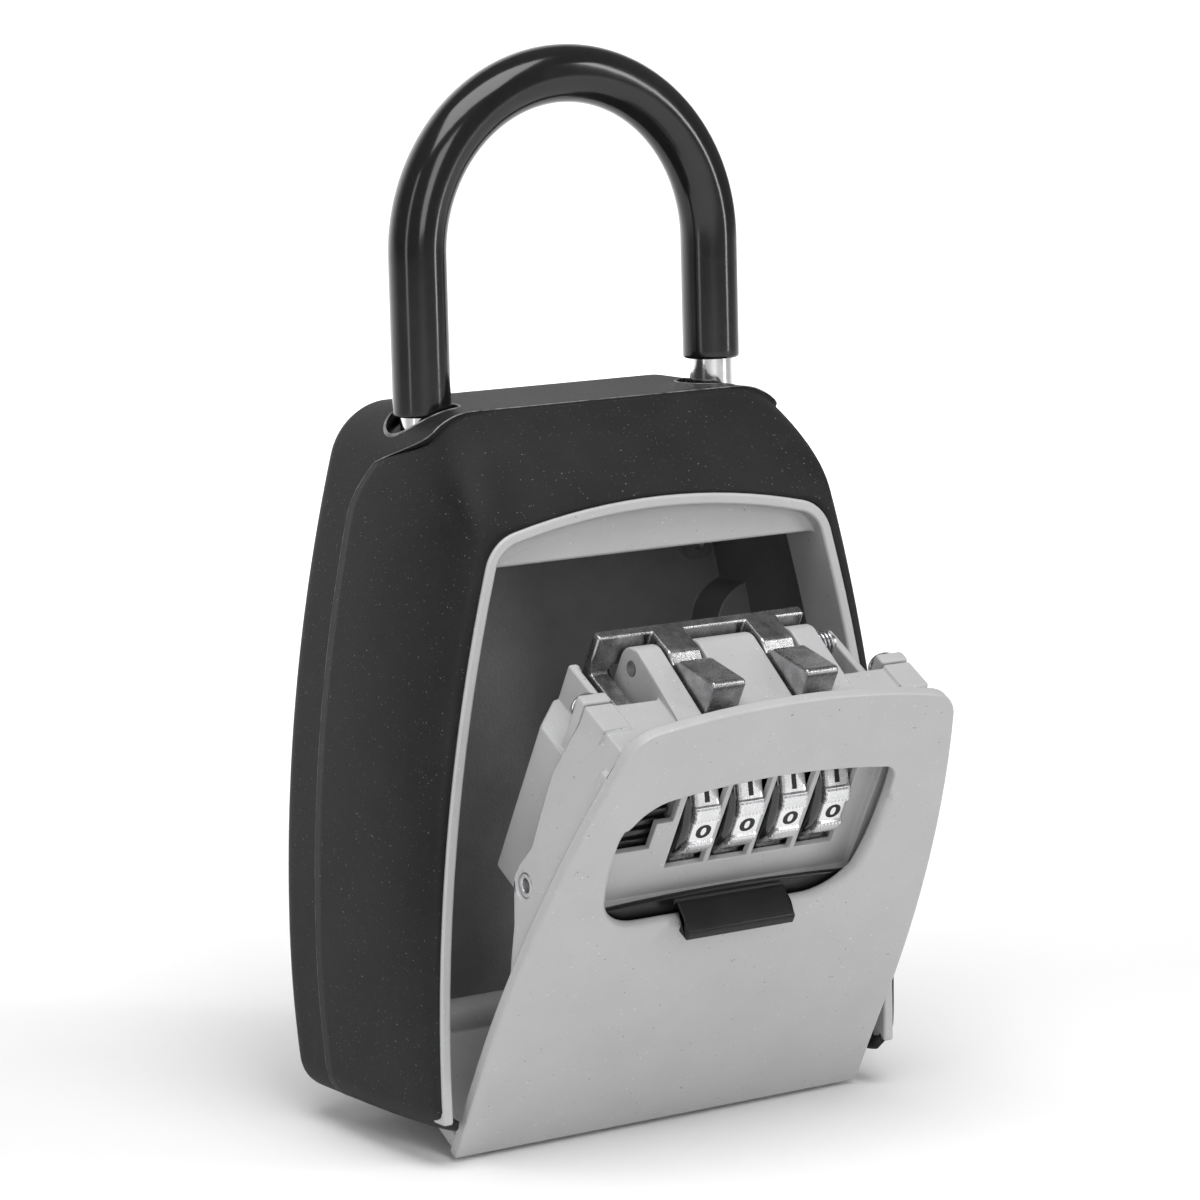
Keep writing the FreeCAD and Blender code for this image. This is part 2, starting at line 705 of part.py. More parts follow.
def make_door_panel():
    """Grey cast door: plate with the dial window, side walls, ribs and the hinge flange."""
    body = new_body("DoorPanel")
    wall = dim("plate_wall")
    face = behind(0.0)
    inner = behind(wall)
    case_back = behind(dim("case_depth"))
    case_top = dim("case_top")
    pad_front(body, face, inner, [plate_loop()])
    pad_front(body, inner, case_back, [plate_loop(0.9, above(case_top))])
    cut_front(body, inner, case_back + 1.0, [plate_loop(2.6, above(case_top - 1.8), 2.2)])
    far = dim("plate_half_width") + 5.0
    rail = dim("window_half_width") + 2.6
    rail_far = rail + 3.4
    for left, right in ((-rail_far, -rail), (rail, rail_far)):
        pad_front(body, inner - 0.2, behind(3.3), [frame_loop(left, right, above(2.0), above(67.0))])
    sill = dim("case_bottom")
    pad_front(body, behind(3.6), case_back, [frame_loop(-32.0, 32.0, above(sill), above(sill + 1.5))])
    wall_end = dim("side_wall_end")
    taper = [
        (inner, above(-1.0)), (case_back + 1.0, above(-1.0)), (case_back + 1.0, above(60.0)),
        (case_back, above(60.0)), (behind(dim("side_wall_waist")), above(49.3)),
        (behind(9.7), above(46.0)), (behind(9.8), above(43.8)), (behind(5.8), above(38.4)),
        (inner, above(wall_end)),
    ]
    for left, right in ((-far, -rail_far), (rail_far, far)):
        cut_side(body, left, right, [taper])
    hinge_y = dim("hinge_back")
    hinge_z = -dim("hinge_drop")
    half = dim("plate_half_width") - 0.6
    pad_side(body, -half, half, [frame_loop(face, hinge_y, above(0.0), above(2.4))])
    pad_side(body, -half, half, circles=[(hinge_y, hinge_z, dim("knuckle"))])
    lug = [frame_loop(behind(8.0), behind(12.0), above(-1.4), above(0.5))]
    pad_side(body, -9.0, 9.0, lug)
    rib_back = dim("fork_depth")
    rib = [
        (behind(3.4), above(62.0)),
        (behind(rib_back + 3.0), above(62.0)),
        (behind(rib_back + 3.0), above(dim("fork_height")), 3.0),
        (behind(rib_back), above(dim("fork_height") + 3.0)),
        (behind(3.4), above(case_top)),
    ]
    gap = 0.35
    inside = dim("nose_inside") - gap
    outside = dim("nose_outside") + gap
    for left, right in ((-outside - 4.2, -outside), (-inside, inside), (outside, outside + 4.2)):
        pad_side(body, left, right, [rib])
    for left, right in ((-outside, -inside), (inside, outside)):
        cut_top(body, above(60.0), above(case_top + 1.0),
                [frame_loop(left, right, behind(3.4), case_back + 1.0)])
    window = [
        (-15.9, above(39.6)), (12.5, above(39.6), 9.0),
        (19.8, above(44.0), 40.0), (20.9, above(54.0), 60.0),
        (20.7, above(60.5), 2.5), (18.3, above(62.6), 110.0),
        (-17.0, above(62.4), 8.0), (-23.6, above(56.0), 40.0),
        (-22.8, above(45.4), 7.0),
    ]
    cut_front(body, face - 1.0, inner + 0.05, [window])
    pin = [(behind(rib_back), above(dim("fork_height")), dim("fork_pin_radius") + 0.02)]
    cut_side(body, -20.0, 20.0, circles=pin)
    cut_side(body, -far, far, circles=[(hinge_y, hinge_z, dim("pin_radius") + dim("pin_clearance"))])
    bush = [(behind(dim("bush_depth")), above(dim("bush_height")), 1.8)]
    cut_side(body, -far, -25.0, circles=bush)
    screw = above(dim("ear_screw_height"))
    for left, right in SCREW_EARS:
        pad_front(body, behind(6.6), case_back, [frame_loop(left, right, screw - 3.6, screw + 2.4)])
        hole = [((left + right) / 2.0, screw, 1.0)]
        cut_front(body, case_back - 5.2, case_back + 0.5, circles=hole)
    finish_part(body, "door_panel", door_place())


def make_dial_carrier():
    """Tray behind the window: a rim, a recessed floor, the dials' slots and the slider's."""
    body = new_body("DialCarrier")
    half = dim("window_half_width") + 2.3
    front = behind(3.6)
    floor = behind(4.7)
    back = behind(5.8)
    low = above(38.3)
    high = above(61.8)
    pad_front(body, front, back, [frame_loop(-half, half, low, high)])
    tub = half - 1.6
    cut_front(body, front - 0.5, floor, [frame_loop(-tub, 21.3, above(41.0), high + 1.0)])
    slots = []
    for index in range(DIALS):
        middle = dim("first_dial") + dim("dial_pitch") * float(index)
        slots.append(frame_loop(middle - 3.2, middle + 3.35, above(45.5), above(61.2)))
    cut_front(body, floor - 0.1, back + 0.5, slots)
    opening = [(-22.0, above(49.6)), (-14.6, above(49.6)), (-14.6, above(54.1)),
               (-11.9, above(54.1)), (-11.9, above(60.4)), (-22.0, above(60.4))]
    cut_front(body, floor - 0.1, back + 0.5, [opening])
    cheeks = dim("shaft_radius") + 0.02
    for left, right in ((-11.6, -10.8), (18.4, 19.8)):
        cheek = [frame_loop(back - 0.3, behind(17.0), above(45.0), above(58.0))]
        pad_side(body, left, right, cheek)
    cut_side(body, -14.0, 21.0,
             circles=[(behind(dim("dial_depth")), above(dim("dial_height")), cheeks)])
    finish_part(body, "dial_carrier", door_place())


def make_lock_cover():
    """Grey cast back cover of the lock, screwed to the door by two ears."""
    body = new_body("LockCover")
    front = behind(dim("case_depth") + 0.2)
    back = behind(dim("cover_depth"))
    low = above(dim("case_bottom") + 0.6)
    high = above(68.4)
    half = dim("lock_cover_half")
    taper = 5.0
    section = [(-half, front), (half, front), (half, back - taper),
               (half - taper, back), (taper - half, back), (-half, back - taper)]
    pad = new_sketch(body, "XY", low, [section])
    extrude(body, "Pad", pad, high - low)
    room = 1.3
    inside = half - room
    space = [(-inside, front), (inside, front), (inside, back - taper - 0.4),
             (inside - taper + 0.4, back - room), (taper - 0.4 - inside, back - room),
             (-inside, back - taper - 0.4)]
    shoulder = above(62.4)
    cut_top(body, low + room, shoulder - room, [space])
    neck = 22.4
    cut_top(body, shoulder - room - 0.1, high + 1.0,
            [frame_loop(room - neck, neck - room, front - 0.5, back - room)])
    for left, right in ((-30.0, -neck), (neck, 30.0)):
        cut_top(body, shoulder, high + 1.0, [frame_loop(left, right, front - 0.5, back + 0.5)])
    screw = above(dim("ear_screw_height"))
    for left, right in SCREW_EARS:
        pad_front(body, front, front + 2.0, [frame_loop(left, right, above(61.5), screw + 2.6)])
    for left, right in SCREW_EARS:
        cut_front(body, front - 0.5, front + 2.5, circles=[((left + right) / 2.0, screw, 1.25)])
    for left, right in ((-half, room - half), (half - room, half)):
        pad_front(body, behind(8.6), front + 0.1, [frame_loop(left, right, above(38.7), above(56.0))])
    cut_top(body, above(63.6), high + 2.0,
            [frame_loop(-20.8, 16.2, behind(16.0), back + 0.5)])
    cut_front(body, back - room - 0.5, back + 0.5,
              [frame_loop(-9.0, 0.2, above(46.0), above(49.2))])
    finish_part(body, "lock_cover", door_place())


def make_cover_screws():
    pieces = []
    seat = dim("case_depth") + 2.25
    screw = above(dim("ear_screw_height"))
    for left, right in SCREW_EARS:
        middle = (left + right) / 2.0
        head = rod("Y", (middle, behind(seat), screw), 2.2, 1.5)
        shank = rod("Y", (middle, behind(seat - 5.0), screw), 0.95, 5.1)
        recess = rod("Y", (middle, behind(seat + 0.9), screw), 0.8, 1.0)
        pieces.append(cut(fuse([head, shank]), [recess]))
    finish_part(compound(pieces), "cover_screws", door_place())


def make_side_bush():
    start = (-31.9, behind(dim("bush_depth")), above(dim("bush_height")))
    finish_part(cut(rod("X", start, 1.75, 3.0), [rod("X", start, 1.0, 1.8)]), "side_bush", door_place())


def make_dial_shaft():
    start = (-13.6, behind(dim("dial_depth")), above(dim("dial_height")))
    shaft = rod("X", start, dim("shaft_radius"), 34.6)
    finish_part(compound([shaft]), "dial_shaft", door_place())


def make_dials():
    """Each dial is a ten-sided number ring pressed on a core with a finger flange."""
    axis_y = behind(dim("dial_depth"))
    axis_z = above(dim("dial_height"))
    for index in range(DIALS):
        middle = dim("first_dial") + dim("dial_pitch") * float(index)
        ring = doc.addObject("Part::Prism", "Ring")
        ring.Polygon = FACETS
        bind(ring, "Circumradius", dim("dial_flat") / math.cos(math.pi / FACETS))
        bind(ring, "Height", 4.2)
        ring.Placement = FreeCAD.Placement(FreeCAD.Vector(), READING_TURN)
        for name, size in zip("xyz", (middle - 1.1, axis_y, axis_z)):
            bind(ring, "Placement.Base." + name, size)
        hole = rod("X", (middle - 2.0, axis_y, axis_z), dim("dial_bore") + 0.03, 7.0)
        finish_part(cut(ring, [hole]), "dial_ring_%d" % (index + 1), door_place())
        flange = rod("X", (middle - 2.9, axis_y, axis_z), dim("dial_flange"), 1.75)
        hub = rod("X", (middle - 2.0, axis_y, axis_z), dim("dial_bore"), 5.1)
        bore = rod("X", (middle - 4.0, axis_y, axis_z), dim("shaft_radius") + 0.05, 9.0)
        finish_part(cut(fuse([flange, hub]), [bore]), "dial_core_%d" % (index + 1), door_place())


def make_detent_spring():
    """Leaf spring with four fingers that click into the dials from behind."""
    plate = box(-12.0, 19.4, behind(15.0), behind(15.6), above(38.6), above(41.6))
    fingers = []
    for index in range(DIALS):
        middle = dim("first_dial") + dim("dial_pitch") * float(index)
        fingers.append(box(middle - 0.9, middle + 2.9, behind(15.0), behind(15.6),
                           above(41.0), above(41.95)))
    finish_part(fuse([plate] + fingers), "detent_spring", door_place())


def make_release_slider():
    """Black slider behind the tray; its ribbed face shows in the L-shaped opening."""
    base = box(-22.7, -11.9, behind(6.9), behind(8.4), above(45.0), above(61.5))
    stem = box(-20.0, -16.6, behind(6.9), behind(8.4), above(61.0), above(64.6))
    ribs = []
    for step in range(9):
        low = 46.2 + 1.7 * step
        ribs.append(box(-22.4, -12.2, behind(6.1), behind(7.2),
                        above(low), above(low + 0.9)))
    arm = box(-20.0, -16.6, behind(8.0), behind(14.8), above(63.0), above(64.6))
    finish_part(fuse([base, stem, arm] + ribs), "release_slider", door_place())


def make_latch_fork():
    """Polished steel fork: two wedge noses, a bridge behind the pin and a crank at its left."""
    nose = [
        (behind(dim("nose_front")), above(66.2)),
        (behind(12.5), above(66.2)),
        (behind(17.0), above(67.4)),
        (behind(23.2), above(67.4)),
        (behind(23.2), above(73.2)),
        (behind(18.4), above(73.2)),
        (behind(16.6), above(72.0)),
        (behind(15.6), above(73.7)),
        (behind(dim("nose_front") + 0.6), above(dim("nose_top"))),
        (behind(dim("nose_front")), above(dim("nose_top") - 0.6)),
    ]
    bridge = [frame_loop(behind(22.9), behind(24.6), above(68.0), above(73.2))]
    body = new_body("LatchFork")
    inside = dim("nose_inside")
    outside = dim("nose_outside")
    pad_side(body, -outside, -inside, [nose])
    pad_side(body, -19.3, 15.4, bridge)
    pad_side(body, inside, outside, [nose])
    crank = [
        (behind(15.2), above(65.4)), (behind(23.0), above(65.4)),
        (behind(24.6), above(65.4)), (behind(24.6), above(70.0)),
        (behind(23.0), above(70.0)), (behind(22.6), above(67.2)),
        (behind(15.2), above(67.2)),
    ]
    pad_side(body, -19.3, -16.1, [crank])
    pin = [(behind(dim("fork_depth")), above(dim("fork_height")), dim("fork_pin_radius") + 0.05)]
    cut_side(body, -15.0, 12.0, circles=pin)
    finish_part(body, "latch_fork", door_place())


def make_fork_pin():
    start = (-15.2, behind(dim("fork_depth")), above(dim("fork_height")))
    finish_part(compound([rod("X", start, dim("fork_pin_radius"), 34.4)]), "fork_pin", door_place())


def make_fork_spring():
    """Torsion spring on the fork pin's free end, as the tube that its coils fill."""
    start = (15.6, behind(dim("fork_depth")), above(dim("fork_height")))
    outside = rod("X", start, 1.9, 3.2)
    inside = rod("X", start, 1.05, 3.2)
    finish_part(cut(outside, [inside]), "fork_spring", door_place())


def make_shutter():
    """Black sheet that slides up over the window, with a thumb lip."""
    body = new_body("Shutter")
    half = dim("window_half_width") + 2.2
    sheet_loop = [
        (-half, above(16.0)), (half, above(16.0)), (half, above(40.4)),
        (half - 1.0, above(41.4), 260.0), (1.0 - half, above(41.4)), (-half, above(40.4)),
    ]
    pad_front(body, behind(2.1), behind(3.0), [sheet_loop])
    lip = [
        (behind(-2.7), above(38.0)), (behind(-0.4), above(38.0)),
        (behind(-0.4), above(40.2)), (behind(2.6), above(40.4)),
        (behind(2.6), above(41.6)), (behind(1.4), above(41.4)),
        (behind(-2.7), above(39.4)),
    ]
    pad_side(body, -9.2, 9.2, [lip])
    finish_part(body, "shutter", door_place())


def make_reset_lever():
    """Code reset lever on the back of the lock cover."""
    stem = box(-8.4, -4.4, behind(22.9), behind(24.6), above(46.4), above(48.8))
    head = box(-9.8, -3.0, behind(24.3), behind(25.6), above(45.0), above(50.2))
    finish_part(fuse([stem, head]), "reset_lever", door_place())


BUILDERS = (
    make_front_cover, make_rear_cover, make_front_frame, make_inner_housing, make_hinge_pin,
    make_housing_screws, make_shackle, make_sleeve, make_stop_ring, make_shackle_latch,
    make_door_panel, make_dial_carrier, make_lock_cover, make_cover_screws, make_side_bush,
    make_dial_shaft, make_dials, make_detent_spring, make_release_slider, make_latch_fork,
    make_fork_pin, make_fork_spring, make_shutter, make_reset_lever,
)
for builder in BUILDERS:
    builder()
    doc.recompute()

# ---------------------------------------------------------------- checks and export

for thing in doc.Objects:
    if "Invalid" in thing.State or "Error" in thing.State:
        raise RuntimeError("%s failed: %s" % (thing.Label, thing.State))
for node, part in PARTS.items():
    if part.Shape.isNull() or not part.Shape.isValid() or not part.Shape.Solids:
        raise RuntimeError(node + " has no valid solid")

os.makedirs("parts", exist_ok=True)
for node, part in PARTS.items():
    part.Shape.exportStep("parts/%s.step" % node)
    print("%-16s %2d solid(s) %9.1f mm3" % (node, len(part.Shape.Solids), part.Shape.Volume))
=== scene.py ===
"""Visual model of a portable key lock box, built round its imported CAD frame.

Lengths in the classes are in millimetres and angles in degrees; meshes are made in metres, in the
frame's own axes: +X to the right seen from the front, +Y to the back, +Z up.
"""

import json
import logging
import math
from dataclasses import dataclass, field
from enum import Enum
from typing import Callable, Iterable, Optional, Sequence, Union

import bmesh
import bpy
from mathutils import Matrix, Vector


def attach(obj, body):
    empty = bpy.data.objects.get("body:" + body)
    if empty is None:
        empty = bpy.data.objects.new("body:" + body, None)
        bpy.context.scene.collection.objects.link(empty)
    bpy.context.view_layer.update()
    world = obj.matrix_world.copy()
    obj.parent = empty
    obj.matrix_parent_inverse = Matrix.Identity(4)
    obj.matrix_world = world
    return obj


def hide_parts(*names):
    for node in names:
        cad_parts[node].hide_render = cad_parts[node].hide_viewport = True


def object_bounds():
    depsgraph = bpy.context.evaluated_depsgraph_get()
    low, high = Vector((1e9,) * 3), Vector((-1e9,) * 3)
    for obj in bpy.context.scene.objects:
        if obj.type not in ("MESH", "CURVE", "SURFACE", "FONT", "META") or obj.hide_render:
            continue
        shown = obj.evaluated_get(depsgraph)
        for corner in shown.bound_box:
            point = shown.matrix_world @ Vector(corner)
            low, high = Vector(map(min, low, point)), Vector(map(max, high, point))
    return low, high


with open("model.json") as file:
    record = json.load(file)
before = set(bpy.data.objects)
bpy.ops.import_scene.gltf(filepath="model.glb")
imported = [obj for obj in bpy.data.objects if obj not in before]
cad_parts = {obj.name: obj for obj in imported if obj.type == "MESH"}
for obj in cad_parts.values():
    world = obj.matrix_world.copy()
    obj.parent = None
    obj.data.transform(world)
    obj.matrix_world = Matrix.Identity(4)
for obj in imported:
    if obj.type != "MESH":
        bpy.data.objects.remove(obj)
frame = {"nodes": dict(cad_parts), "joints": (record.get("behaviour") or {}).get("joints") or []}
CAD_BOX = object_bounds()

LOG = logging.getLogger("key_lock_box")
MM = 0.001
Colour = tuple[float, float, float]
Spot = tuple[float, float, float]
Point = tuple[float, float]


# ---------------- shader maths


class Wire:
    """An output socket that takes part in sums; each sum adds its Math node."""

    def __init__(self, bench: "Bench", socket: bpy.types.NodeSocket) -> None:
        """Wraps a socket of the bench's tree."""
        self.bench = bench
        self.socket = socket

    def sum_of(self, operation: str, *terms: Union["Wire", float]) -> "Wire":
        """Adds a Math node.

        Args:
            operation: The Math node's operation.
            terms: Its values or links, in order.

        Returns:
            The node's output.
        """
        return self.bench.node("ShaderNodeMath", {"operation": operation}, dict(enumerate(terms)))

    def __add__(self, other: Union["Wire", float]) -> "Wire":
        """self + other."""
        return self.sum_of("ADD", self, other)

    def __radd__(self, other: float) -> "Wire":
        """other + self."""
        return self.sum_of("ADD", other, self)

    def __sub__(self, other: Union["Wire", float]) -> "Wire":
        """self - other."""
        return self.sum_of("SUBTRACT", self, other)

    def __rsub__(self, other: float) -> "Wire":
        """other - self."""
        return self.sum_of("SUBTRACT", other, self)

    def __mul__(self, other: Union["Wire", float]) -> "Wire":
        """self * other."""
        return self.sum_of("MULTIPLY", self, other)

    def __rmul__(self, other: float) -> "Wire":
        """other * self."""
        return self.sum_of("MULTIPLY", other, self)


class Bench:
    """A material's node tree, with one way to add a node."""

    def __init__(self, name: str) -> None:
        """Makes the material with an empty tree."""
        self.material = bpy.data.materials.new(name)
        self.material.use_nodes = True
        self.tree = self.material.node_tree
        self.tree.nodes.clear()

    def node(self, kind: str, settings: dict, inputs: dict,
             output: Union[int, str, None] = 0) -> Optional[Wire]:
        """Adds a node.

        Args:
            kind: The node's type.
            settings: Its properties, and "stops" for a ramp's positions and greys.
            inputs: Values or wires by socket name or index.
            output: The output wanted, or None for a node that has none.

        Returns:
            That output.
        """
        made = self.tree.nodes.new(kind)
        for key, value in settings.items():
            if key == "stops":
                self.set_stops(made.color_ramp, value)
            else:
                setattr(made, key, value)
        for key, value in inputs.items():
            if isinstance(value, Wire):
                self.tree.links.new(value.socket, made.inputs[key])
            else:
                made.inputs[key].default_value = value
        return None if output is None else Wire(self, made.outputs[output])

    @staticmethod
    def set_stops(ramp: bpy.types.ColorRamp, stops: Sequence[Point]) -> None:
        """Sets a ramp's stops, given as (position, grey)."""
        while len(ramp.elements) < len(stops):
            ramp.elements.new(0.5)
        for element, (position, grey) in zip(ramp.elements, stops):
            element.position = position
            element.color = (grey, grey, grey, 1.0)

    def place(self) -> Wire:
        """The point on the piece, in metres, which stays put as the piece moves."""
        return self.node("ShaderNodeTexCoord", {}, {}, "Object")

    def noise(self, size: float, detail: float = 3.0, rough: float = 0.5) -> Wire:
        """Noise whose features are about size millimetres across."""
        inputs = {"Vector": self.place(), "Scale": 1.0 / (size * MM), "Detail": detail,
                  "Roughness": rough}
        return self.node("ShaderNodeTexNoise", {}, inputs, "Fac")

    def ramp(self, value: Wire, stops: Sequence[Point]) -> Wire:
        """A value taken through a ramp of greys."""
        return self.node("ShaderNodeValToRGB", {"stops": stops}, {"Fac": value})

    def mix(self, factor: Union[Wire, float], first: Union[Wire, Colour],
            second: Union[Wire, Colour]) -> Wire:
        """A mix of two colours."""
        inputs = {0: factor}
        for index, colour in ((6, first), (7, second)):
            inputs[index] = colour if isinstance(colour, Wire) else (*colour, 1.0)
        return self.node("ShaderNodeMix", {"data_type": "RGBA"}, inputs, 2)

    def edge(self, radius: float) -> Wire:
        """How far the surface turns within radius millimetres: 0 on a flat, towards 1 on an edge."""
        rounded = self.node("ShaderNodeBevel", {"samples": 4}, {"Radius": radius * MM})
        plain = self.node("ShaderNodeNewGeometry", {}, {}, "Normal")
        agree = self.node("ShaderNodeVectorMath", {"operation": "DOT_PRODUCT"}, {0: rounded, 1: plain},
                          "Value")
        return 1.0 - agree

    def bump(self, height: Wire, depth: float, below: Optional[Wire] = None) -> Wire:
        """A normal bumped by height, depth millimetres deep."""
        inputs = {"Height": height, "Strength": 1.0, "Distance": depth * MM}
        if below is not None:
            inputs["Normal"] = below
        return self.node("ShaderNodeBump", {}, inputs)

    def finish(self, inputs: dict) -> bpy.types.Material:
        """Closes the tree with a Principled shader.

        Args:
            inputs: Its values and wires by socket name.

        Returns:
            The material.
        """
        shader = self.node("ShaderNodeBsdfPrincipled", {}, inputs)
        self.node("ShaderNodeOutputMaterial", {}, {"Surface": shader}, None)
        return self.material


# ---------------- finishes


@dataclass(frozen=True)
class Finish:
    """A surface finish: its colour, gloss, grain, specks and wear."""

    name: str
    slot: str
    tone: Colour
    roughness: float
    metallic: float = 0.0
    mottle: float = 0.08
    mottle_size: float = 6.0
    grain: float = 0.02
    grain_size: float = 0.3
    swell: float = 0.0
    swell_size: float = 4.0
    speck: float = 0.0
    speck_tone: float = 0.5
    speck_size: float = 0.35
    pit: float = 0.0
    wear: float = 0.0
    wear_tone: float = 0.6
    coat: float = 0.0
    specular: float = 0.5

    def material(self) -> bpy.types.Material:
        """Builds the finish's material."""
        bench = Bench(self.name)
        clouds = bench.noise(self.mottle_size, 4.0, 0.6)
        dark = tuple(channel * (1.0 - self.mottle) for channel in self.tone)
        light = tuple(min(1.0, channel * (1.0 + self.mottle)) for channel in self.tone)
        colour = bench.mix(bench.ramp(clouds, ((0.3, 0.0), (0.7, 1.0))), dark, light)
        grain = bench.noise(self.grain_size, 2.0, 0.6)
        if self.speck:
            stops = ((0.74 - self.speck * 0.1, 0.0), (0.80, 1.0))
            dots = bench.ramp(bench.noise(self.speck_size, 1.0), stops)
            colour = bench.mix(dots * 0.8, colour, (self.speck_tone,) * 3)
        if self.pit:
            pits = bench.ramp(bench.noise(0.55, 1.0, 0.4), ((0.20, 1.0), (0.24 + self.pit * 0.02, 0.0)))
            colour = bench.mix(pits * 0.7, colour, tuple(channel * 0.2 for channel in self.tone))
        roughness = self.roughness * (0.85 + grain * 0.3) + (clouds - 0.5) * 0.12
        if self.wear:
            worn = bench.edge(0.35) * 3.0 * (0.4 + bench.noise(1.2))
            rubbed = bench.ramp(worn, ((0.25, 0.0), (0.85, 1.0)))
            colour = bench.mix(rubbed * self.wear, colour, (self.wear_tone,) * 3)
        normal = bench.bump(grain, self.grain)
        if self.swell:
            normal = bench.bump(bench.noise(self.swell_size, 2.0), self.swell, normal)
        return bench.finish({
            "Base Color": colour, "Roughness": roughness, "Metallic": self.metallic, "Normal": normal,
            "Coat Weight": self.coat, "Coat Roughness": 0.08, "Specular IOR Level": self.specular,
        })


class Finishes(Enum):
    """Every finish on the box."""

    SOFT_BLACK = Finish("soft_black_cover", "soft_black", (0.019, 0.019, 0.0193), 0.55, mottle=0.18,
                        mottle_size=14.0, grain=0.030, grain_size=0.22, speck=0.2, speck_tone=0.22,
                        speck_size=0.30, wear=0.12, wear_tone=0.06, specular=0.12)
    GREY_CAST = Finish("grey_painted_casting", "grey_cast", (0.44, 0.44, 0.445), 0.40, mottle=0.035,
                       mottle_size=9.0, grain=0.010, grain_size=0.30, swell=0.03, swell_size=5.0, speck=0.1,
                       speck_tone=0.75, speck_size=0.40, pit=0.3, wear=0.30, wear_tone=0.62)
    DARK_CAST = Finish("dark_textured_casting", "dark_cast", (0.19, 0.19, 0.192), 0.45, mottle=0.12,
                       mottle_size=8.0, grain=0.060, grain_size=0.55, speck=0.15, speck_tone=0.25,
                       speck_size=0.4)
    STEEL = Finish("zinc_plated_steel", "steel", (0.55, 0.55, 0.56), 0.30, metallic=1.0, mottle=0.10,
                   grain=0.006, wear=0.2, wear_tone=0.8)
    CHROME = Finish("bright_chrome", "chrome", (0.80, 0.80, 0.81), 0.12, metallic=1.0, mottle=0.05,
                    mottle_size=2.0, grain=0.004, grain_size=0.4)
    RING = Finish("satin_chrome_ring", "chrome", (0.82, 0.82, 0.83), 0.26, metallic=0.75, mottle=0.05,
                  mottle_size=2.0, grain=0.004, grain_size=0.4, wear=0.5, wear_tone=0.9)
    VINYL = Finish("gloss_black_vinyl", "vinyl", (0.010, 0.010, 0.010), 0.16, mottle=0.20, mottle_size=10.0,
                   grain=0.003, grain_size=0.8, swell=0.05, swell_size=7.0, coat=0.2, specular=0.4)
    SPRING = Finish("spring_steel_wire", "spring_steel", (0.42, 0.42, 0.43), 0.25, metallic=1.0, grain=0.004)
    GLOSS_BLACK = Finish("gloss_black_moulding", "gloss_black", (0.007, 0.007, 0.007), 0.22, mottle=0.15,
                         grain=0.004, grain_size=0.5, swell=0.02, wear=0.15, wear_tone=0.15, specular=0.3)
    SATIN_BLACK = Finish("satin_black_slider", "gloss_black", (0.014, 0.014, 0.014), 0.26, mottle=0.15,
                         grain=0.008, grain_size=0.3, wear=0.15, wear_tone=0.15)
    DARK_STEEL = Finish("polished_dark_nickel", "dark_steel", (0.40, 0.40, 0.405), 0.27, metallic=1.0,
                        mottle=0.30, mottle_size=2.2, grain=0.016, grain_size=0.35, wear=0.9, wear_tone=0.80)
    DIAL_BLACK = Finish("gloss_black_dial", "dial_black", (0.012, 0.012, 0.012), 0.14, grain=0.003, coat=0.5)
    INK = Finish("engraved_ink", "dial_black", (0.006, 0.006, 0.006), 0.55, grain=0.01)
    # Painted highlight: lighter grey with dashed brightness standing for the glint along the seam and
    # hole-rim ridges.
    SEAM = Finish("parting_line_painted_highlight", "soft_black", (0.16, 0.16, 0.16), 0.55, mottle=0.9, mottle_size=1.6)

    def material(self) -> bpy.types.Material:
        """This finish's material, made once."""
        existing = bpy.data.materials.get(self.value.name)
        return existing if existing else self.value.material()


# ---------------- mesh making


def turns(steps: int) -> list[float]:
    """The angles of steps points round a circle."""
    return [2.0 * math.pi * step / steps for step in range(steps)]


def eased(value: float, start: float, end: float) -> float:
    """0 up to start, 1 from end on, and a smooth step between them."""
    part = min(1.0, max(0.0, (value - start) / (end - start)))
    return part * part * (3.0 - 2.0 * part)


def linked(name: str, made: bmesh.types.BMesh) -> bpy.types.Object:
    """Makes a mesh an object of the scene."""
    mesh = bpy.data.meshes.new(name)
    made.to_mesh(mesh)
    made.free()
    thing = bpy.data.objects.new(name, mesh)
    bpy.context.scene.collection.objects.link(thing)
    return thing


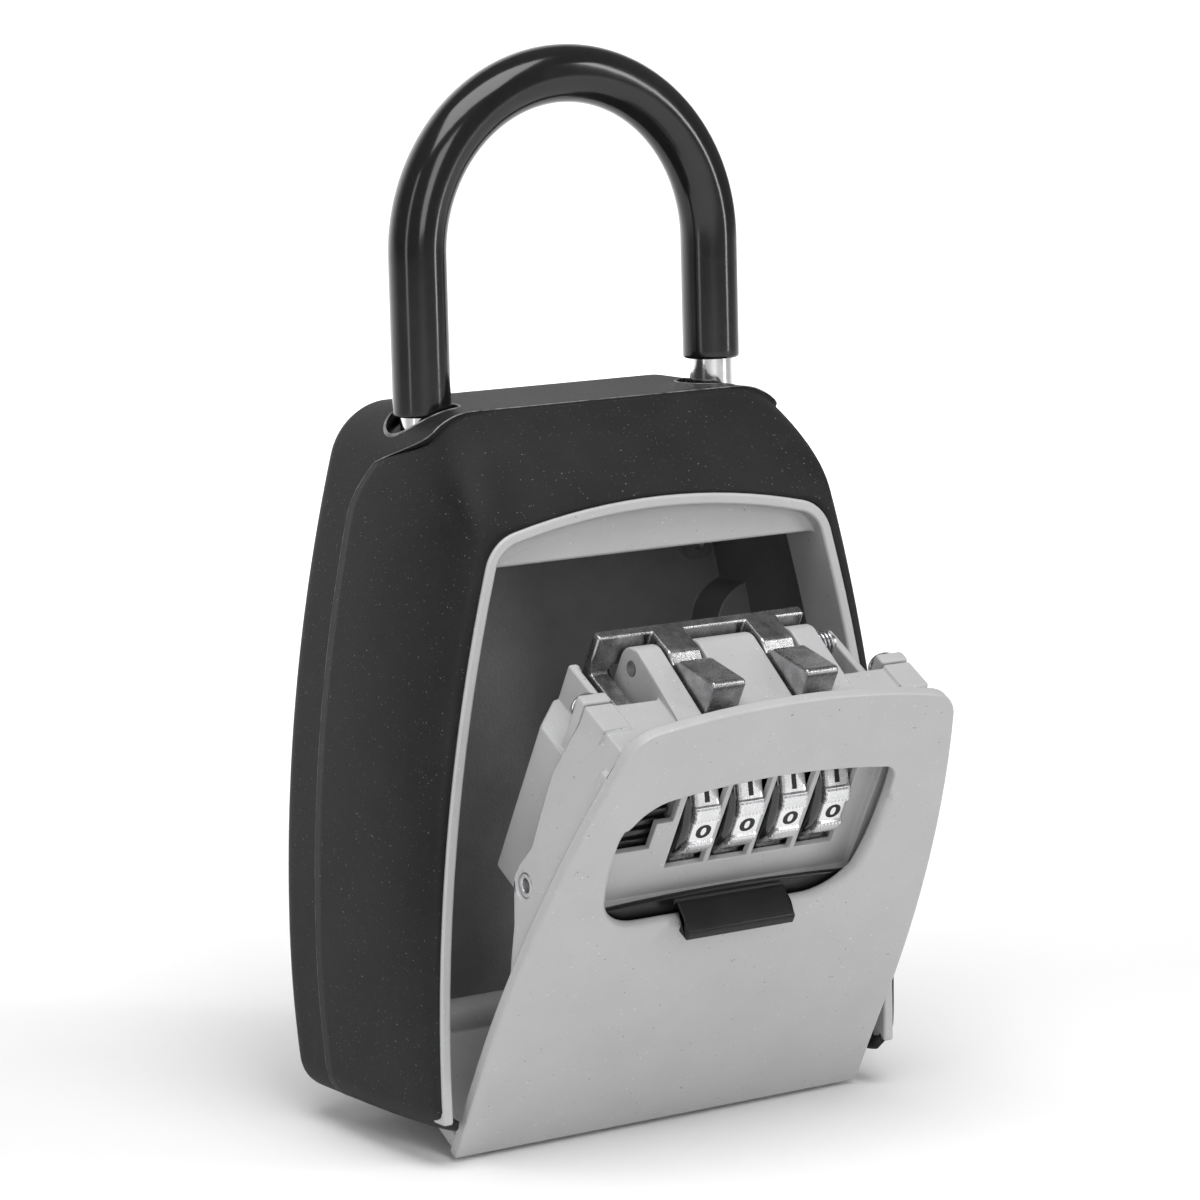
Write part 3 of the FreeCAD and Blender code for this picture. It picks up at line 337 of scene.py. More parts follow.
class Shape:
    """Ways to make a mesh from rows of points, in millimetres."""

    @staticmethod
    def grid(rows: Sequence[Sequence[Vector]], closed: bool = False,
             keep: Optional[Callable[[Vector], bool]] = None) -> bmesh.types.BMesh:
        """Joins rows of points with quads.

        Args:
            rows: Points in millimetres, the same number in each row.
            closed: Whether each row is a loop.
            keep: Says from a quad's middle whether it is made.

        Returns:
            The mesh.
        """
        made = bmesh.new()
        points = [[made.verts.new(point * MM) for point in row] for row in rows]
        width = len(rows[0])
        for low, high in zip(points, points[1:]):
            for index in range(width if closed else width - 1):
                after = (index + 1) % width
                corners = (low[index], low[after], high[after], high[index])
                middle = sum((corner.co for corner in corners), Vector()) / (4.0 * MM)
                if keep is None or keep(middle):
                    made.faces.new(corners)
        loose = [vert for vert in made.verts if not vert.link_faces]
        bmesh.ops.delete(made, geom=loose, context="VERTS")
        return made

    @staticmethod
    def close(made: bmesh.types.BMesh) -> bmesh.types.BMesh:
        """Welds a mesh, fills its open ends and turns its faces outwards."""
        bmesh.ops.remove_doubles(made, verts=made.verts, dist=1e-6)
        bmesh.ops.holes_fill(made, edges=[edge for edge in made.edges if edge.is_boundary], sides=0)
        bmesh.ops.recalc_face_normals(made, faces=made.faces)
        return made

    @classmethod
    def lathe(cls, profile: Sequence[Point], place: Matrix, steps: int = 64) -> bmesh.types.BMesh:
        """Turns a profile about an axis.

        Args:
            profile: (along the axis, radius) points; the ends are closed.
            place: Takes the axis from local X to where it lies, in millimetres.
            steps: Points round the axis.

        Returns:
            The mesh.
        """
        rows = []
        for along, radius in profile:
            rows.append([place @ Vector((along, radius * math.cos(turn), radius * math.sin(turn)))
                         for turn in turns(steps)])
        return cls.close(cls.grid(rows, closed=True))

    @classmethod
    def tube(cls, path: Sequence[Vector], radii: Sequence[float], steps: int = 40) -> bmesh.types.BMesh:
        """Sweeps a circle along a path.

        Args:
            path: The path's points, in millimetres.
            radii: The radius at each of them.
            steps: Points round the tube.

        Returns:
            The mesh, with closed ends.
        """
        rows = []
        side = (path[1] - path[0]).orthogonal().normalized()
        for index, (point, radius) in enumerate(zip(path, radii)):
            ahead = (path[min(index + 1, len(path) - 1)] - path[max(index - 1, 0)]).normalized()
            side = (side - ahead * side.dot(ahead)).normalized()
            other = ahead.cross(side)
            rows.append([point + radius * (math.cos(turn) * side + math.sin(turn) * other)
                         for turn in turns(steps)])
        return cls.close(cls.grid(rows, closed=True))

    @staticmethod
    def softened(node: str, width: float, segments: int = 2, sharp: float = 25.0,
                 wide: Optional[tuple[Callable[[Vector, Vector], bool], float]] = None
                 ) -> bmesh.types.BMesh:
        """Copies a CAD node's surface and rounds its edges, as a casting or moulding has them.

        Args:
            node: The node.
            width: How wide the rounding is.
            segments: Its steps.
            sharp: Edges that turn by more than this are rounded.
            wide: A test on an edge's two ends, and the greater width such edges get first.

        Returns:
            The mesh.
        """
        made = bmesh.new()
        made.from_mesh(frame["nodes"][node].data)
        bmesh.ops.remove_doubles(made, verts=made.verts, dist=1e-6)
        halves = made.verts[:] + made.edges[:] + made.faces[:]
        bmesh.ops.bisect_plane(made, geom=halves, dist=1e-7, plane_co=(0.0, 0.0, 0.0),
                               plane_no=(1.0, 0.0, 0.0))
        for face in made.faces:
            face.material_index = 1 if face.calc_center_median().x > 0.0 else 0
        bmesh.ops.dissolve_limit(made, angle_limit=math.radians(0.6), verts=made.verts, edges=made.edges,
                                 delimit={"MATERIAL"})
        bmesh.ops.remove_doubles(made, verts=made.verts, dist=0.06 * MM)
        bmesh.ops.dissolve_degenerate(made, edges=made.edges, dist=0.02 * MM)
        for face in made.faces:
            face.material_index = 0
        rounds = ([wide] if wide else []) + [(lambda first, second: True, width)]
        for test, offset in rounds:
            edges = [edge for edge in made.edges if edge.is_manifold and
                     edge.calc_face_angle(0.0) > math.radians(sharp) and
                     test(edge.verts[0].co / MM, edge.verts[1].co / MM)]
            bmesh.ops.bevel(made, geom=edges, offset=offset * MM, offset_type="OFFSET", segments=segments,
                            profile=0.5, affect="EDGES", clamp_overlap=False)
        bmesh.ops.remove_doubles(made, verts=made.verts, dist=2e-7)
        return made


@dataclass
class DoorFrame:
    """The door's own axes at rest: across, up the door and into it from its face."""

    hinge: Vector = field(default_factory=Vector)
    up: Vector = field(default_factory=Vector)
    depth_of_hinge: float = 25.0
    height_of_hinge: float = 1.7

    @classmethod
    def from_joints(cls) -> "DoorFrame":
        """Reads the door's axes from the frame's joints."""
        joints = {joint["name"]: joint for joint in frame["joints"]}
        hinge = Vector(joints["door_hinge"]["pos_m"]) / MM
        return cls(hinge, Vector(joints["shutter_slide"]["axis"]))

    @property
    def inward(self) -> Vector:
        """The direction from the door's face into the box."""
        return self.up.cross(Vector((1.0, 0.0, 0.0)))

    def matrix(self) -> Matrix:
        """Takes (across, depth, height) in the door to the frame, in millimetres."""
        origin = self.hinge - self.inward * self.depth_of_hinge - self.up * self.height_of_hinge
        axes = Matrix((Vector((1.0, 0.0, 0.0)), self.inward, self.up)).transposed().to_4x4()
        return Matrix.Translation(origin) @ axes

    def at(self, across: float, depth: float, height: float) -> Vector:
        """A point of the door, in the frame."""
        return self.matrix() @ Vector((across, depth, height))


class SubAssembly:
    """Something that makes pieces which ride on one body."""

    body = "housing"

    def add(self, name: str, made: bmesh.types.BMesh, finish: Finishes, replaces: Sequence[str] = (),
            body: Optional[str] = None, smooth: float = 38.0) -> bpy.types.Object:
        """Turns a mesh into a piece.

        Args:
            name: The piece's name.
            made: Its mesh.
            finish: Its finish.
            replaces: The CAD nodes it stands for.
            body: The body it rides on, if not the sub-assembly's own.
            smooth: Edges that turn by more than this stay crisp.

        Returns:
            The piece.
        """
        bmesh.ops.recalc_face_normals(made, faces=made.faces)
        piece = linked(name, made)
        piece.data.shade_smooth()
        piece.data.set_sharp_from_angle(angle=math.radians(smooth))
        piece.data.materials.append(finish.material())
        weighted = piece.modifiers.new("Weighted", "WEIGHTED_NORMAL")
        weighted.keep_sharp = True
        weighted.weight = 80
        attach(piece, body or self.body)
        if replaces:
            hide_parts(*replaces)
        LOG.info("%s: %d faces on %s", name, len(piece.data.polygons), body or self.body)
        return piece

    def dress(self, finish: Finishes, *nodes: str) -> None:
        """Gives CAD nodes that stay their finish."""
        for node in nodes:
            slots = frame["nodes"][node].data.materials
            slots.clear()
            slots.append(finish.material())
            LOG.info("%s: carried over", node)


# ---------------- covers


def arc(x: float, z: float, radius: float, start: float, end: float, steps: int) -> list[Point]:
    """steps points along an arc about (x, z), from one angle towards another, without the last."""
    angles = [start + (end - start) * step / steps for step in range(steps)]
    return [(x + radius * math.cos(angle), z + radius * math.sin(angle)) for angle in angles]


@dataclass
class Covers(SubAssembly):
    """The two soft black covers."""

    top: float = -42.1
    half_width: float = 42.0
    widest: float = -77.0
    side_curve: float = 257.6
    low_curve: float = 171.0
    shoulder: float = 10.0
    foot: float = 5.5
    height: float = 100.5
    front: float = -23.4
    parting: float = 6.0
    crease: float = -10.0
    wall: float = 1.2
    door_slot: float = 36.6
    back: float = 16.0
    back_round: float = 3.0
    seam: float = 0.04
    flash: float = 0.09
    leg: float = 25.0
    hole: float = 5.2
    screws: tuple[Point, ...] = ((-29.0, -26.0), (29.0, -26.0), (-33.0, -80.0), (33.0, -80.0))
    screw_hole: float = 1.2
    crisp: float = 31.0

    def outer(self) -> list[Point]:
        """Half of the covers' outline, from the top middle down the right side to the foot."""
        side_x = self.half_width - self.side_curve
        rise = -self.shoulder - self.widest
        reach = self.side_curve - self.shoulder
        corner_x = side_x + math.sqrt(reach * reach - rise * rise)
        turn = math.atan2(rise, corner_x - side_x)
        low_x = self.half_width - self.low_curve
        drop = self.foot - self.height - self.widest
        low_reach = self.low_curve - self.foot
        foot_x = low_x + math.sqrt(low_reach * low_reach - drop * drop)
        low_turn = math.atan2(drop, foot_x - low_x)
        top = [(corner_x * step / 20.0, 0.0) for step in range(20)]
        corner = arc(corner_x, -self.shoulder, self.shoulder, math.pi / 2.0, turn, 16)
        side = arc(side_x, self.widest, self.side_curve, turn, 0.0, 34)
        low = arc(low_x, self.widest, self.low_curve, 0.0, low_turn, 12)
        end = math.acos((self.door_slot - foot_x) / self.foot)
        toe = arc(foot_x, self.foot - self.height, self.foot, low_turn, -end, 10)
        return top + corner + side + low + toe + [(self.door_slot, -self.height + 0.05)]

    def inner(self) -> list[Point]:
        """Half of the frame opening's outline, with a point for each of the outer one's."""
        side_x, side_z, side_curve = 39.3 - 268.0, -92.0, 268.0
        corner_x, corner_z, corner_round, top_curve = 23.16, -22.0, 6.6, 106.7
        lean = corner_x / (top_curve - corner_round)
        turn = math.atan2(corner_z - side_z, corner_x - side_x)
        top_end = math.asin(lean)
        crown = corner_z - math.sqrt((top_curve - corner_round) ** 2 - corner_x ** 2)
        top = [(top_curve * math.sin(top_end * step / 20.0),
                crown + top_curve * math.cos(top_end * step / 20.0)) for step in range(20)]
        corner = arc(corner_x, corner_z, corner_round, math.pi / 2.0 - top_end, turn, 16)
        half_way = math.atan2(self.widest - side_z, side_curve)
        side = arc(side_x, side_z, side_curve, turn, half_way, 34)
        low = arc(side_x, side_z, side_curve, half_way, -0.0125, 12)
        toe = [(39.25 - 2.6 * (step / 10.0) ** 2, -95.4 - 3.4 * step / 10.0) for step in range(10)]
        return top + corner + side + low + toe + [(self.door_slot, -98.9)]

    @staticmethod
    def top_profile(depth: float) -> float:
        """How far from the outer to the inner outline the top has come at a depth.

        Args:
            depth: The depth; the top is level behind the crease, slopes down to the knee and then
                follows a curve from the knee to the rim.

        Returns:
            0 on the outer outline, 1 on the inner one.
        """
        crease, knee, pull, rim = (10.0, 0.0), (16.0, 4.0), (22.5, 9.46), (23.4, 12.8)

        def curve(axis: int, part: float) -> float:
            """The curve's reach, axis 0, or its drop, axis 1."""
            return (knee[axis] * (1 - part) ** 2 + 2 * pull[axis] * part * (1 - part) +
                    rim[axis] * part ** 2)

        if depth >= -crease[0]:
            return 0.0
        if depth >= -knee[0]:
            along = (-crease[0] - depth) / (knee[0] - crease[0])
            return (2.96 * along + 1.04 * along * along) / rim[1]
        low, high = 0.0, 1.0
        for _ in range(30):
            part = (low + high) / 2.0
            low, high = (part, high) if curve(0, part) < -depth else (low, part)
        return min(1.0, curve(1, part) / rim[1])

    @staticmethod
    def side_profile(depth: float) -> float:
        """The same for the sides, which turn in one long round."""
        start, length, power = 4.0, 27.4, 2.3
        part = min(1.0, max(0.0, (start - depth) / length))
        return 1.0 - (1.0 - part ** power) ** (1.0 / power)

    def parting_depth(self, index: int) -> float:
        """Where the covers part at a point of the outline: at the crease on top, further back below."""
        return self.crease + (self.parting - self.crease) * eased(index, 29.0, 40.0)

    @staticmethod
    def both_sides(half: Sequence[Vector], closed: bool = False) -> list[Vector]:
        """A row for both sides of the box, from the left foot over the top to the right foot."""
        left = [Vector((-point.x, point.y, point.z)) for point in half[:0:-1]]
        return (left[1:] if closed else left) + list(half)

    def front_shell(self) -> bmesh.types.BMesh:
        """The front cover as one sheet, from the parting line round to the frame's rim."""
        steps = [0.0, 0.06, 0.14, 0.22, 0.30, 0.38, 0.43, 0.4478, 0.47, 0.52, 0.57, 0.62, 0.68, 0.74, 0.79,
                 0.84, 0.88, 0.915, 0.945, 0.97, 0.985, 1.0]
        rows = []
        for step in steps:
            half = []
            for index, (far, near) in enumerate(zip(self.outer(), self.inner())):
                start = self.parting_depth(index) - self.seam
                depth = start + (self.front - start) * step
                bend = eased(index, 16.0, 38.0)
                part = self.top_profile(depth) * (1.0 - bend) + self.side_profile(depth) * bend
                half.append(Vector((far[0] + (near[0] - far[0]) * part, depth,
                                    far[1] + (near[1] - far[1]) * part + self.top)))
            rows.append(self.both_sides(half))
        return Shape.grid(rows)

    def rear_shell(self) -> bmesh.types.BMesh:
        """The rear cover as one sheet: the top strip, the sides and the back."""
        half = self.outer()[:-1] + [(self.door_slot, 0.11 - self.height)]
        half += [(x, -self.height) for x in (35.5, 24.0, 12.0, 0.0)]
        slopes = []
        for index in range(len(half)):
            ahead = Vector(half[min(index + 1, len(half) - 1)]) - Vector(half[max(index - 1, 0)])
            slopes.append(Vector((ahead.y, -ahead.x)).normalized())
        slopes[0], slopes[-1] = Vector((0.0, -1.0)), Vector((0.0, 1.0))
        rows = []
        straight_end = self.back - self.back_round
        runs = [(share, None) for share in (0.0, 0.1, 0.25, 0.4, 0.55, 0.7, 0.85)]
        rounds = [(None, math.pi / 2.0 * step / 6) for step in range(7)]
        for share, turn in runs + rounds + [(None, None)]:
            row = []
            for index, ((x, z), slope) in enumerate(zip(half, slopes)):
                if share is not None:
                    start = self.parting_depth(index) + self.seam
                    depth, inset = start + (straight_end - start) * share, 0.0
                elif turn is not None:
                    depth = straight_end + self.back_round * math.sin(turn)
                    inset = self.back_round * (1.0 - math.cos(turn))
                else:
                    depth, inset = self.back, self.back_round + 1.2
                row.append(Vector((x + slope.x * inset, depth, z + slope.y * inset + self.top)))
            rows.append(self.both_sides(row, closed=True))
        made = Shape.grid(rows, closed=True)
        back = [edge for edge in made.edges if edge.is_boundary and
                min(vert.co.y for vert in edge.verts) > (self.back - 0.01) * MM]
        bmesh.ops.contextual_create(made, geom=back)
        bmesh.ops.recalc_face_normals(made, faces=made.faces)
        return made

    def drilled(self, made: bmesh.types.BMesh) -> bmesh.types.BMesh:
        """Gives the rear shell its wall, the two shackle holes and the four screw holes.

        Args:
            made: The shell as a sheet.

        Returns:
            The finished solid.
        """
        blank = linked("blank", made)
        self.thicken(blank)
        drills = []
        bores = [((sign * self.leg, 0.0, self.top), self.hole, (0.0, 0.0, 1.0)) for sign in (-1.0, 1.0)]
        bores += [((x, self.back, self.top + z), self.screw_hole, (0.0, 1.0, 0.0)) for x, z in self.screws]
        for centre, radius, axis in bores:
            turn = Vector((1.0, 0.0, 0.0)).rotation_difference(Vector(axis)).to_matrix().to_4x4()
            cutter = [(-6.0, 0.001), (-6.0, radius), (6.0, radius), (6.0, 0.001)]
            drill = linked("drill", Shape.lathe(cutter, Matrix.Translation(Vector(centre)) @ turn, 72))
            drills.append(drill)
            bore = blank.modifiers.new("Bore", "BOOLEAN")
            bore.object = drill
            bore.operation = "DIFFERENCE"
            bore.solver = "EXACT"
        bpy.context.view_layer.update()
        cut = bpy.data.meshes.new_from_object(blank.evaluated_get(bpy.context.evaluated_depsgraph_get()))
        solid = bmesh.new()
        solid.from_mesh(cut)
        for scrap in [blank] + drills:
            spare = scrap.data
            bpy.data.objects.remove(scrap)
            bpy.data.meshes.remove(spare)
        bpy.data.meshes.remove(cut)
        return solid

    def thicken(self, thing: bpy.types.Object) -> None:
        """Gives a sheet its wall, inwards."""
        wall = thing.modifiers.new("Wall", "SOLIDIFY")
        wall.thickness = self.wall * MM
        wall.offset = -1.0

    def parting_line(self) -> bmesh.types.BMesh:
        """The thin line of flash along the parting, over the top and down both sides; its lighter grey with
        dashed brightness is a painted highlight on that ridge.
        """
        inset = 1.0 - self.flash / self.half_width
        half = [Vector((x * inset, self.parting_depth(index), z + self.top))
                for index, (x, z) in enumerate(self.outer())]
        path = self.both_sides(half)
        return Shape.tube(path, [self.flash] * len(path), 6)

    def hole_rims(self) -> bmesh.types.BMesh:
        """The thin raised rims round the two shackle holes; their lighter grey is a painted highlight on the
        rims.
        """
        made = bmesh.new()
        profile = [(0.0, -0.9), (0.0, 0.0), (0.1, 0.07), (0.28, 0.07), (0.4, 0.0), (0.4, -0.9)]
        for sign in (-1.0, 1.0):
            loops = []
            for beyond, lift in profile:
                radius = self.hole + beyond
                spots = [(sign * self.leg + radius * math.cos(turn), radius * math.sin(turn))
                         for turn in turns(72)]
                loops.append([made.verts.new(Vector((x, y, self.top + lift - self.drop_at(abs(x)))) * MM)
                              for x, y in spots])
            for low, high in zip(loops, loops[1:]):
                for step in range(72):
                    after = (step + 1) % 72
                    made.faces.new((low[step], low[after], high[after], high[step]))
        return made

    def drop_at(self, across: float) -> float:
        """How far the top outline has fallen at a distance from the middle."""
        beyond = min(self.shoulder, max(0.0, across - 22.76))
        return self.shoulder - math.sqrt(self.shoulder ** 2 - beyond ** 2)

    def build(self) -> None:
        """Makes the covers."""
        shell = self.add("front_cover_shell", self.front_shell(), Finishes.SOFT_BLACK, ["front_cover"],
                         smooth=self.crisp)
        self.thicken(shell)
        self.add("rear_cover_shell", self.drilled(self.rear_shell()), Finishes.SOFT_BLACK, ["rear_cover"],
                 smooth=self.crisp)
        # The seam and hole rims are painted lighter grey as a highlight on their ridges.
        self.add("parting_line", self.parting_line(), Finishes.SEAM)
        self.add("hole_rims", self.hole_rims(), Finishes.SEAM)
        self.dress(Finishes.STEEL, "housing_screws", "hinge_pin")


# ---------------- housing and its frame


@dataclass
class Housing(SubAssembly):
    """The grey front frame and the dark cast box behind it."""

    rim_round: float = 0.45
    box_round: float = 0.35

    def build(self) -> None:
        """Makes the frame and the inner box."""
        self.add("front_frame_cast", Shape.softened("front_frame", self.rim_round, 3), Finishes.GREY_CAST,
                 ["front_frame"])
        self.add("key_box_cast", Shape.softened("inner_housing", self.box_round), Finishes.DARK_CAST,
                 ["inner_housing"])


# ---------------- shackle


@dataclass
class Shackle(SubAssembly):
    """The bow, its vinyl sleeve, stop ring and latch bar."""

    body = "shackle_bow"
    half: float = 25.0
    crown: float = -20.8
    sleeve: float = 4.2
    bore: float = 3.22
    left_end: float = -43.3
    right_end: float = -38.7
    lip: float = 0.5

    def path(self) -> list[Vector]:
        """The middle line of the bow between the sleeve's ends."""
        left = [Vector((-self.half, 0.0, self.left_end + (self.crown - self.left_end) * step / 14))
                for step in range(14)]
        arc = [Vector((self.half * math.cos(turn), 0.0, self.crown + self.half * math.sin(turn)))
               for turn in (math.pi * (1.0 - step / 64) for step in range(65))]
        right = [Vector((self.half, 0.0, self.crown + (self.right_end - self.crown) * step / 14))
                 for step in range(1, 15)]
        return left + arc + right

    def sleeve_mesh(self) -> bmesh.types.BMesh:
        """The sleeve: a tube with rounded lips, open at both ends."""
        path = self.path()
        start, end = path[0], path[-1]
        up = Vector((0.0, 0.0, 1.0))
        outside = [(point, self.sleeve) for point in path[1:-1]]
        head, tail = [], []
        for step in range(7):
            turn = math.pi / 2.0 * step / 6
            shrink = self.lip * (1.0 - math.sin(turn))
            rise = self.lip * (1.0 - math.cos(turn))
            head.append((start + up * rise, self.sleeve - shrink))
            tail.append((end + up * rise, self.sleeve - shrink))
        inner = [(end + up * 2.0, self.bore), (end, self.bore)]
        first = [(start + up * 2.0, self.bore), (start, self.bore)]
        run = first + head + outside + tail[::-1] + inner[::-1]
        rows = []
        for point, radius in run:
            offset = point.x / self.half
            bent = point.z > self.crown
            lean = math.acos(max(-1.0, min(1.0, offset))) if bent else (math.pi if offset < 0 else 0.0)
            side = Vector((math.cos(lean), 0.0, math.sin(lean) if bent else 0.0))
            across = Vector((0.0, 1.0, 0.0))
            rows.append([point + radius * (math.cos(turn) * side + math.sin(turn) * across)
                         for turn in turns(48)])
        made = Shape.grid(rows, closed=True)
        bmesh.ops.remove_doubles(made, verts=made.verts, dist=1e-6)
        return made

    def build(self) -> None:
        """Makes the sleeve and dresses the steel."""
        self.add("vinyl_sleeve", self.sleeve_mesh(), Finishes.VINYL, ["shackle_sleeve"], smooth=60.0)
        self.dress(Finishes.CHROME, "shackle", "stop_ring")
        self.add("latch_bar", Shape.softened("shackle_latch", 0.3), Finishes.STEEL, ["shackle_latch"],
                 body="latch")


# ---------------- door


@dataclass
class Door(SubAssembly):
    """The grey cast door with its tray, lock cover, screws and pins."""

    body = "door"
    door: DoorFrame = field(default_factory=DoorFrame.from_joints)
    panel_round: float = 0.32
    window_round: float = 1.1
    head: float = 2.2
    dome: float = 1.35
    cross: float = 0.28
    cross_reach: float = 1.3
    cross_depth: float = 0.75
    ear_screw: Spot = (25.1, 14.45, 68.7)
    coil_place: Spot = (15.95, 19.5, 70.0)
    coil_radius: float = 1.55
    coil_pitch: float = 0.62
    coil_wire: float = 0.28

    def window_edge(self, first: Vector, second: Vector) -> bool:
        """Whether an edge is on the front rim of the window, below its top."""
        back = self.door.matrix().inverted()
        one, two = back @ first, back @ second
        high_enough = min(one.z, two.z) > 38.5 and max(one.z, two.z) < 58.5
        inside = max(abs(one.x), abs(two.x)) < 24.5
        return abs(one.y) < 0.05 and abs(two.y) < 0.05 and high_enough and inside

    def screw(self, across: float, depth: float, height: float) -> bmesh.types.BMesh:
        """A domed screw head with a cross recess, its shank pointing to the door's face."""
        rows = []
        for radius in (0.0, 0.35, 0.7, 1.05, 1.4, 1.75, 2.0, 2.15, self.head):
            row = []
            for turn in turns(48):
                dome = self.dome * math.sqrt(max(0.0, 1.0 - (radius / self.head) ** 2)) ** 0.9
                arm = min(abs(math.sin(turn)), abs(math.cos(turn))) * radius
                recess = self.cross_depth if arm < self.cross and radius < self.cross_reach else 0.0
                row.append(self.door.at(across + radius * math.cos(turn), depth + dome - recess,
                                        height + radius * math.sin(turn)))
            rows.append(row)
        for radius, back in ((self.head, -0.15), (0.95, -0.15), (0.95, -5.0)):
            rows.append([self.door.at(across + radius * math.cos(turn), depth + back,
                                      height + radius * math.sin(turn)) for turn in turns(48)])
        return Shape.close(Shape.grid(rows, closed=True))

    def coil(self) -> bmesh.types.BMesh:
        """The fork's torsion spring: four turns with a short tail."""
        across, depth, height = self.coil_place
        path = []
        for step in range(4 * 24 + 1):
            turn = 2.0 * math.pi * step / 24
            path.append(self.door.at(across + self.coil_pitch * step / 24,
                                     depth + self.coil_radius * math.cos(turn),
                                     height + self.coil_radius * math.sin(turn)))
        tail = [path[0] - self.door.up * 1.2]
        return Shape.tube(tail + path, [self.coil_wire] * (len(path) + 1), 10)

    def build(self) -> None:
        """Makes the door's pieces."""
        panel = Shape.softened("door_panel", self.panel_round, 2, wide=(self.window_edge, self.window_round))
        self.add("door_panel_cast", panel, Finishes.GREY_CAST, ["door_panel"])
        self.add("dial_tray_cast", Shape.softened("dial_carrier", 0.16), Finishes.GREY_CAST, ["dial_carrier"])
        self.add("lock_cover_cast", Shape.softened("lock_cover", 0.4), Finishes.GREY_CAST, ["lock_cover"])
        across, depth, height = self.ear_screw
        for index, side in enumerate((-across, across), start=1):
            self.add("ear_screw_%d" % index, self.screw(side, depth, height), Finishes.CHROME,
                     ["cover_screws"])
        self.add("fork_spring_coil", self.coil(), Finishes.SPRING, ["fork_spring"], smooth=60.0)
        self.dress(Finishes.STEEL, "dial_shaft", "fork_pin")
        self.dress(Finishes.SPRING, "detent_spring")
        self.add("side_bush_turned", Shape.softened("side_bush", 0.2), Finishes.STEEL, ["side_bush"])


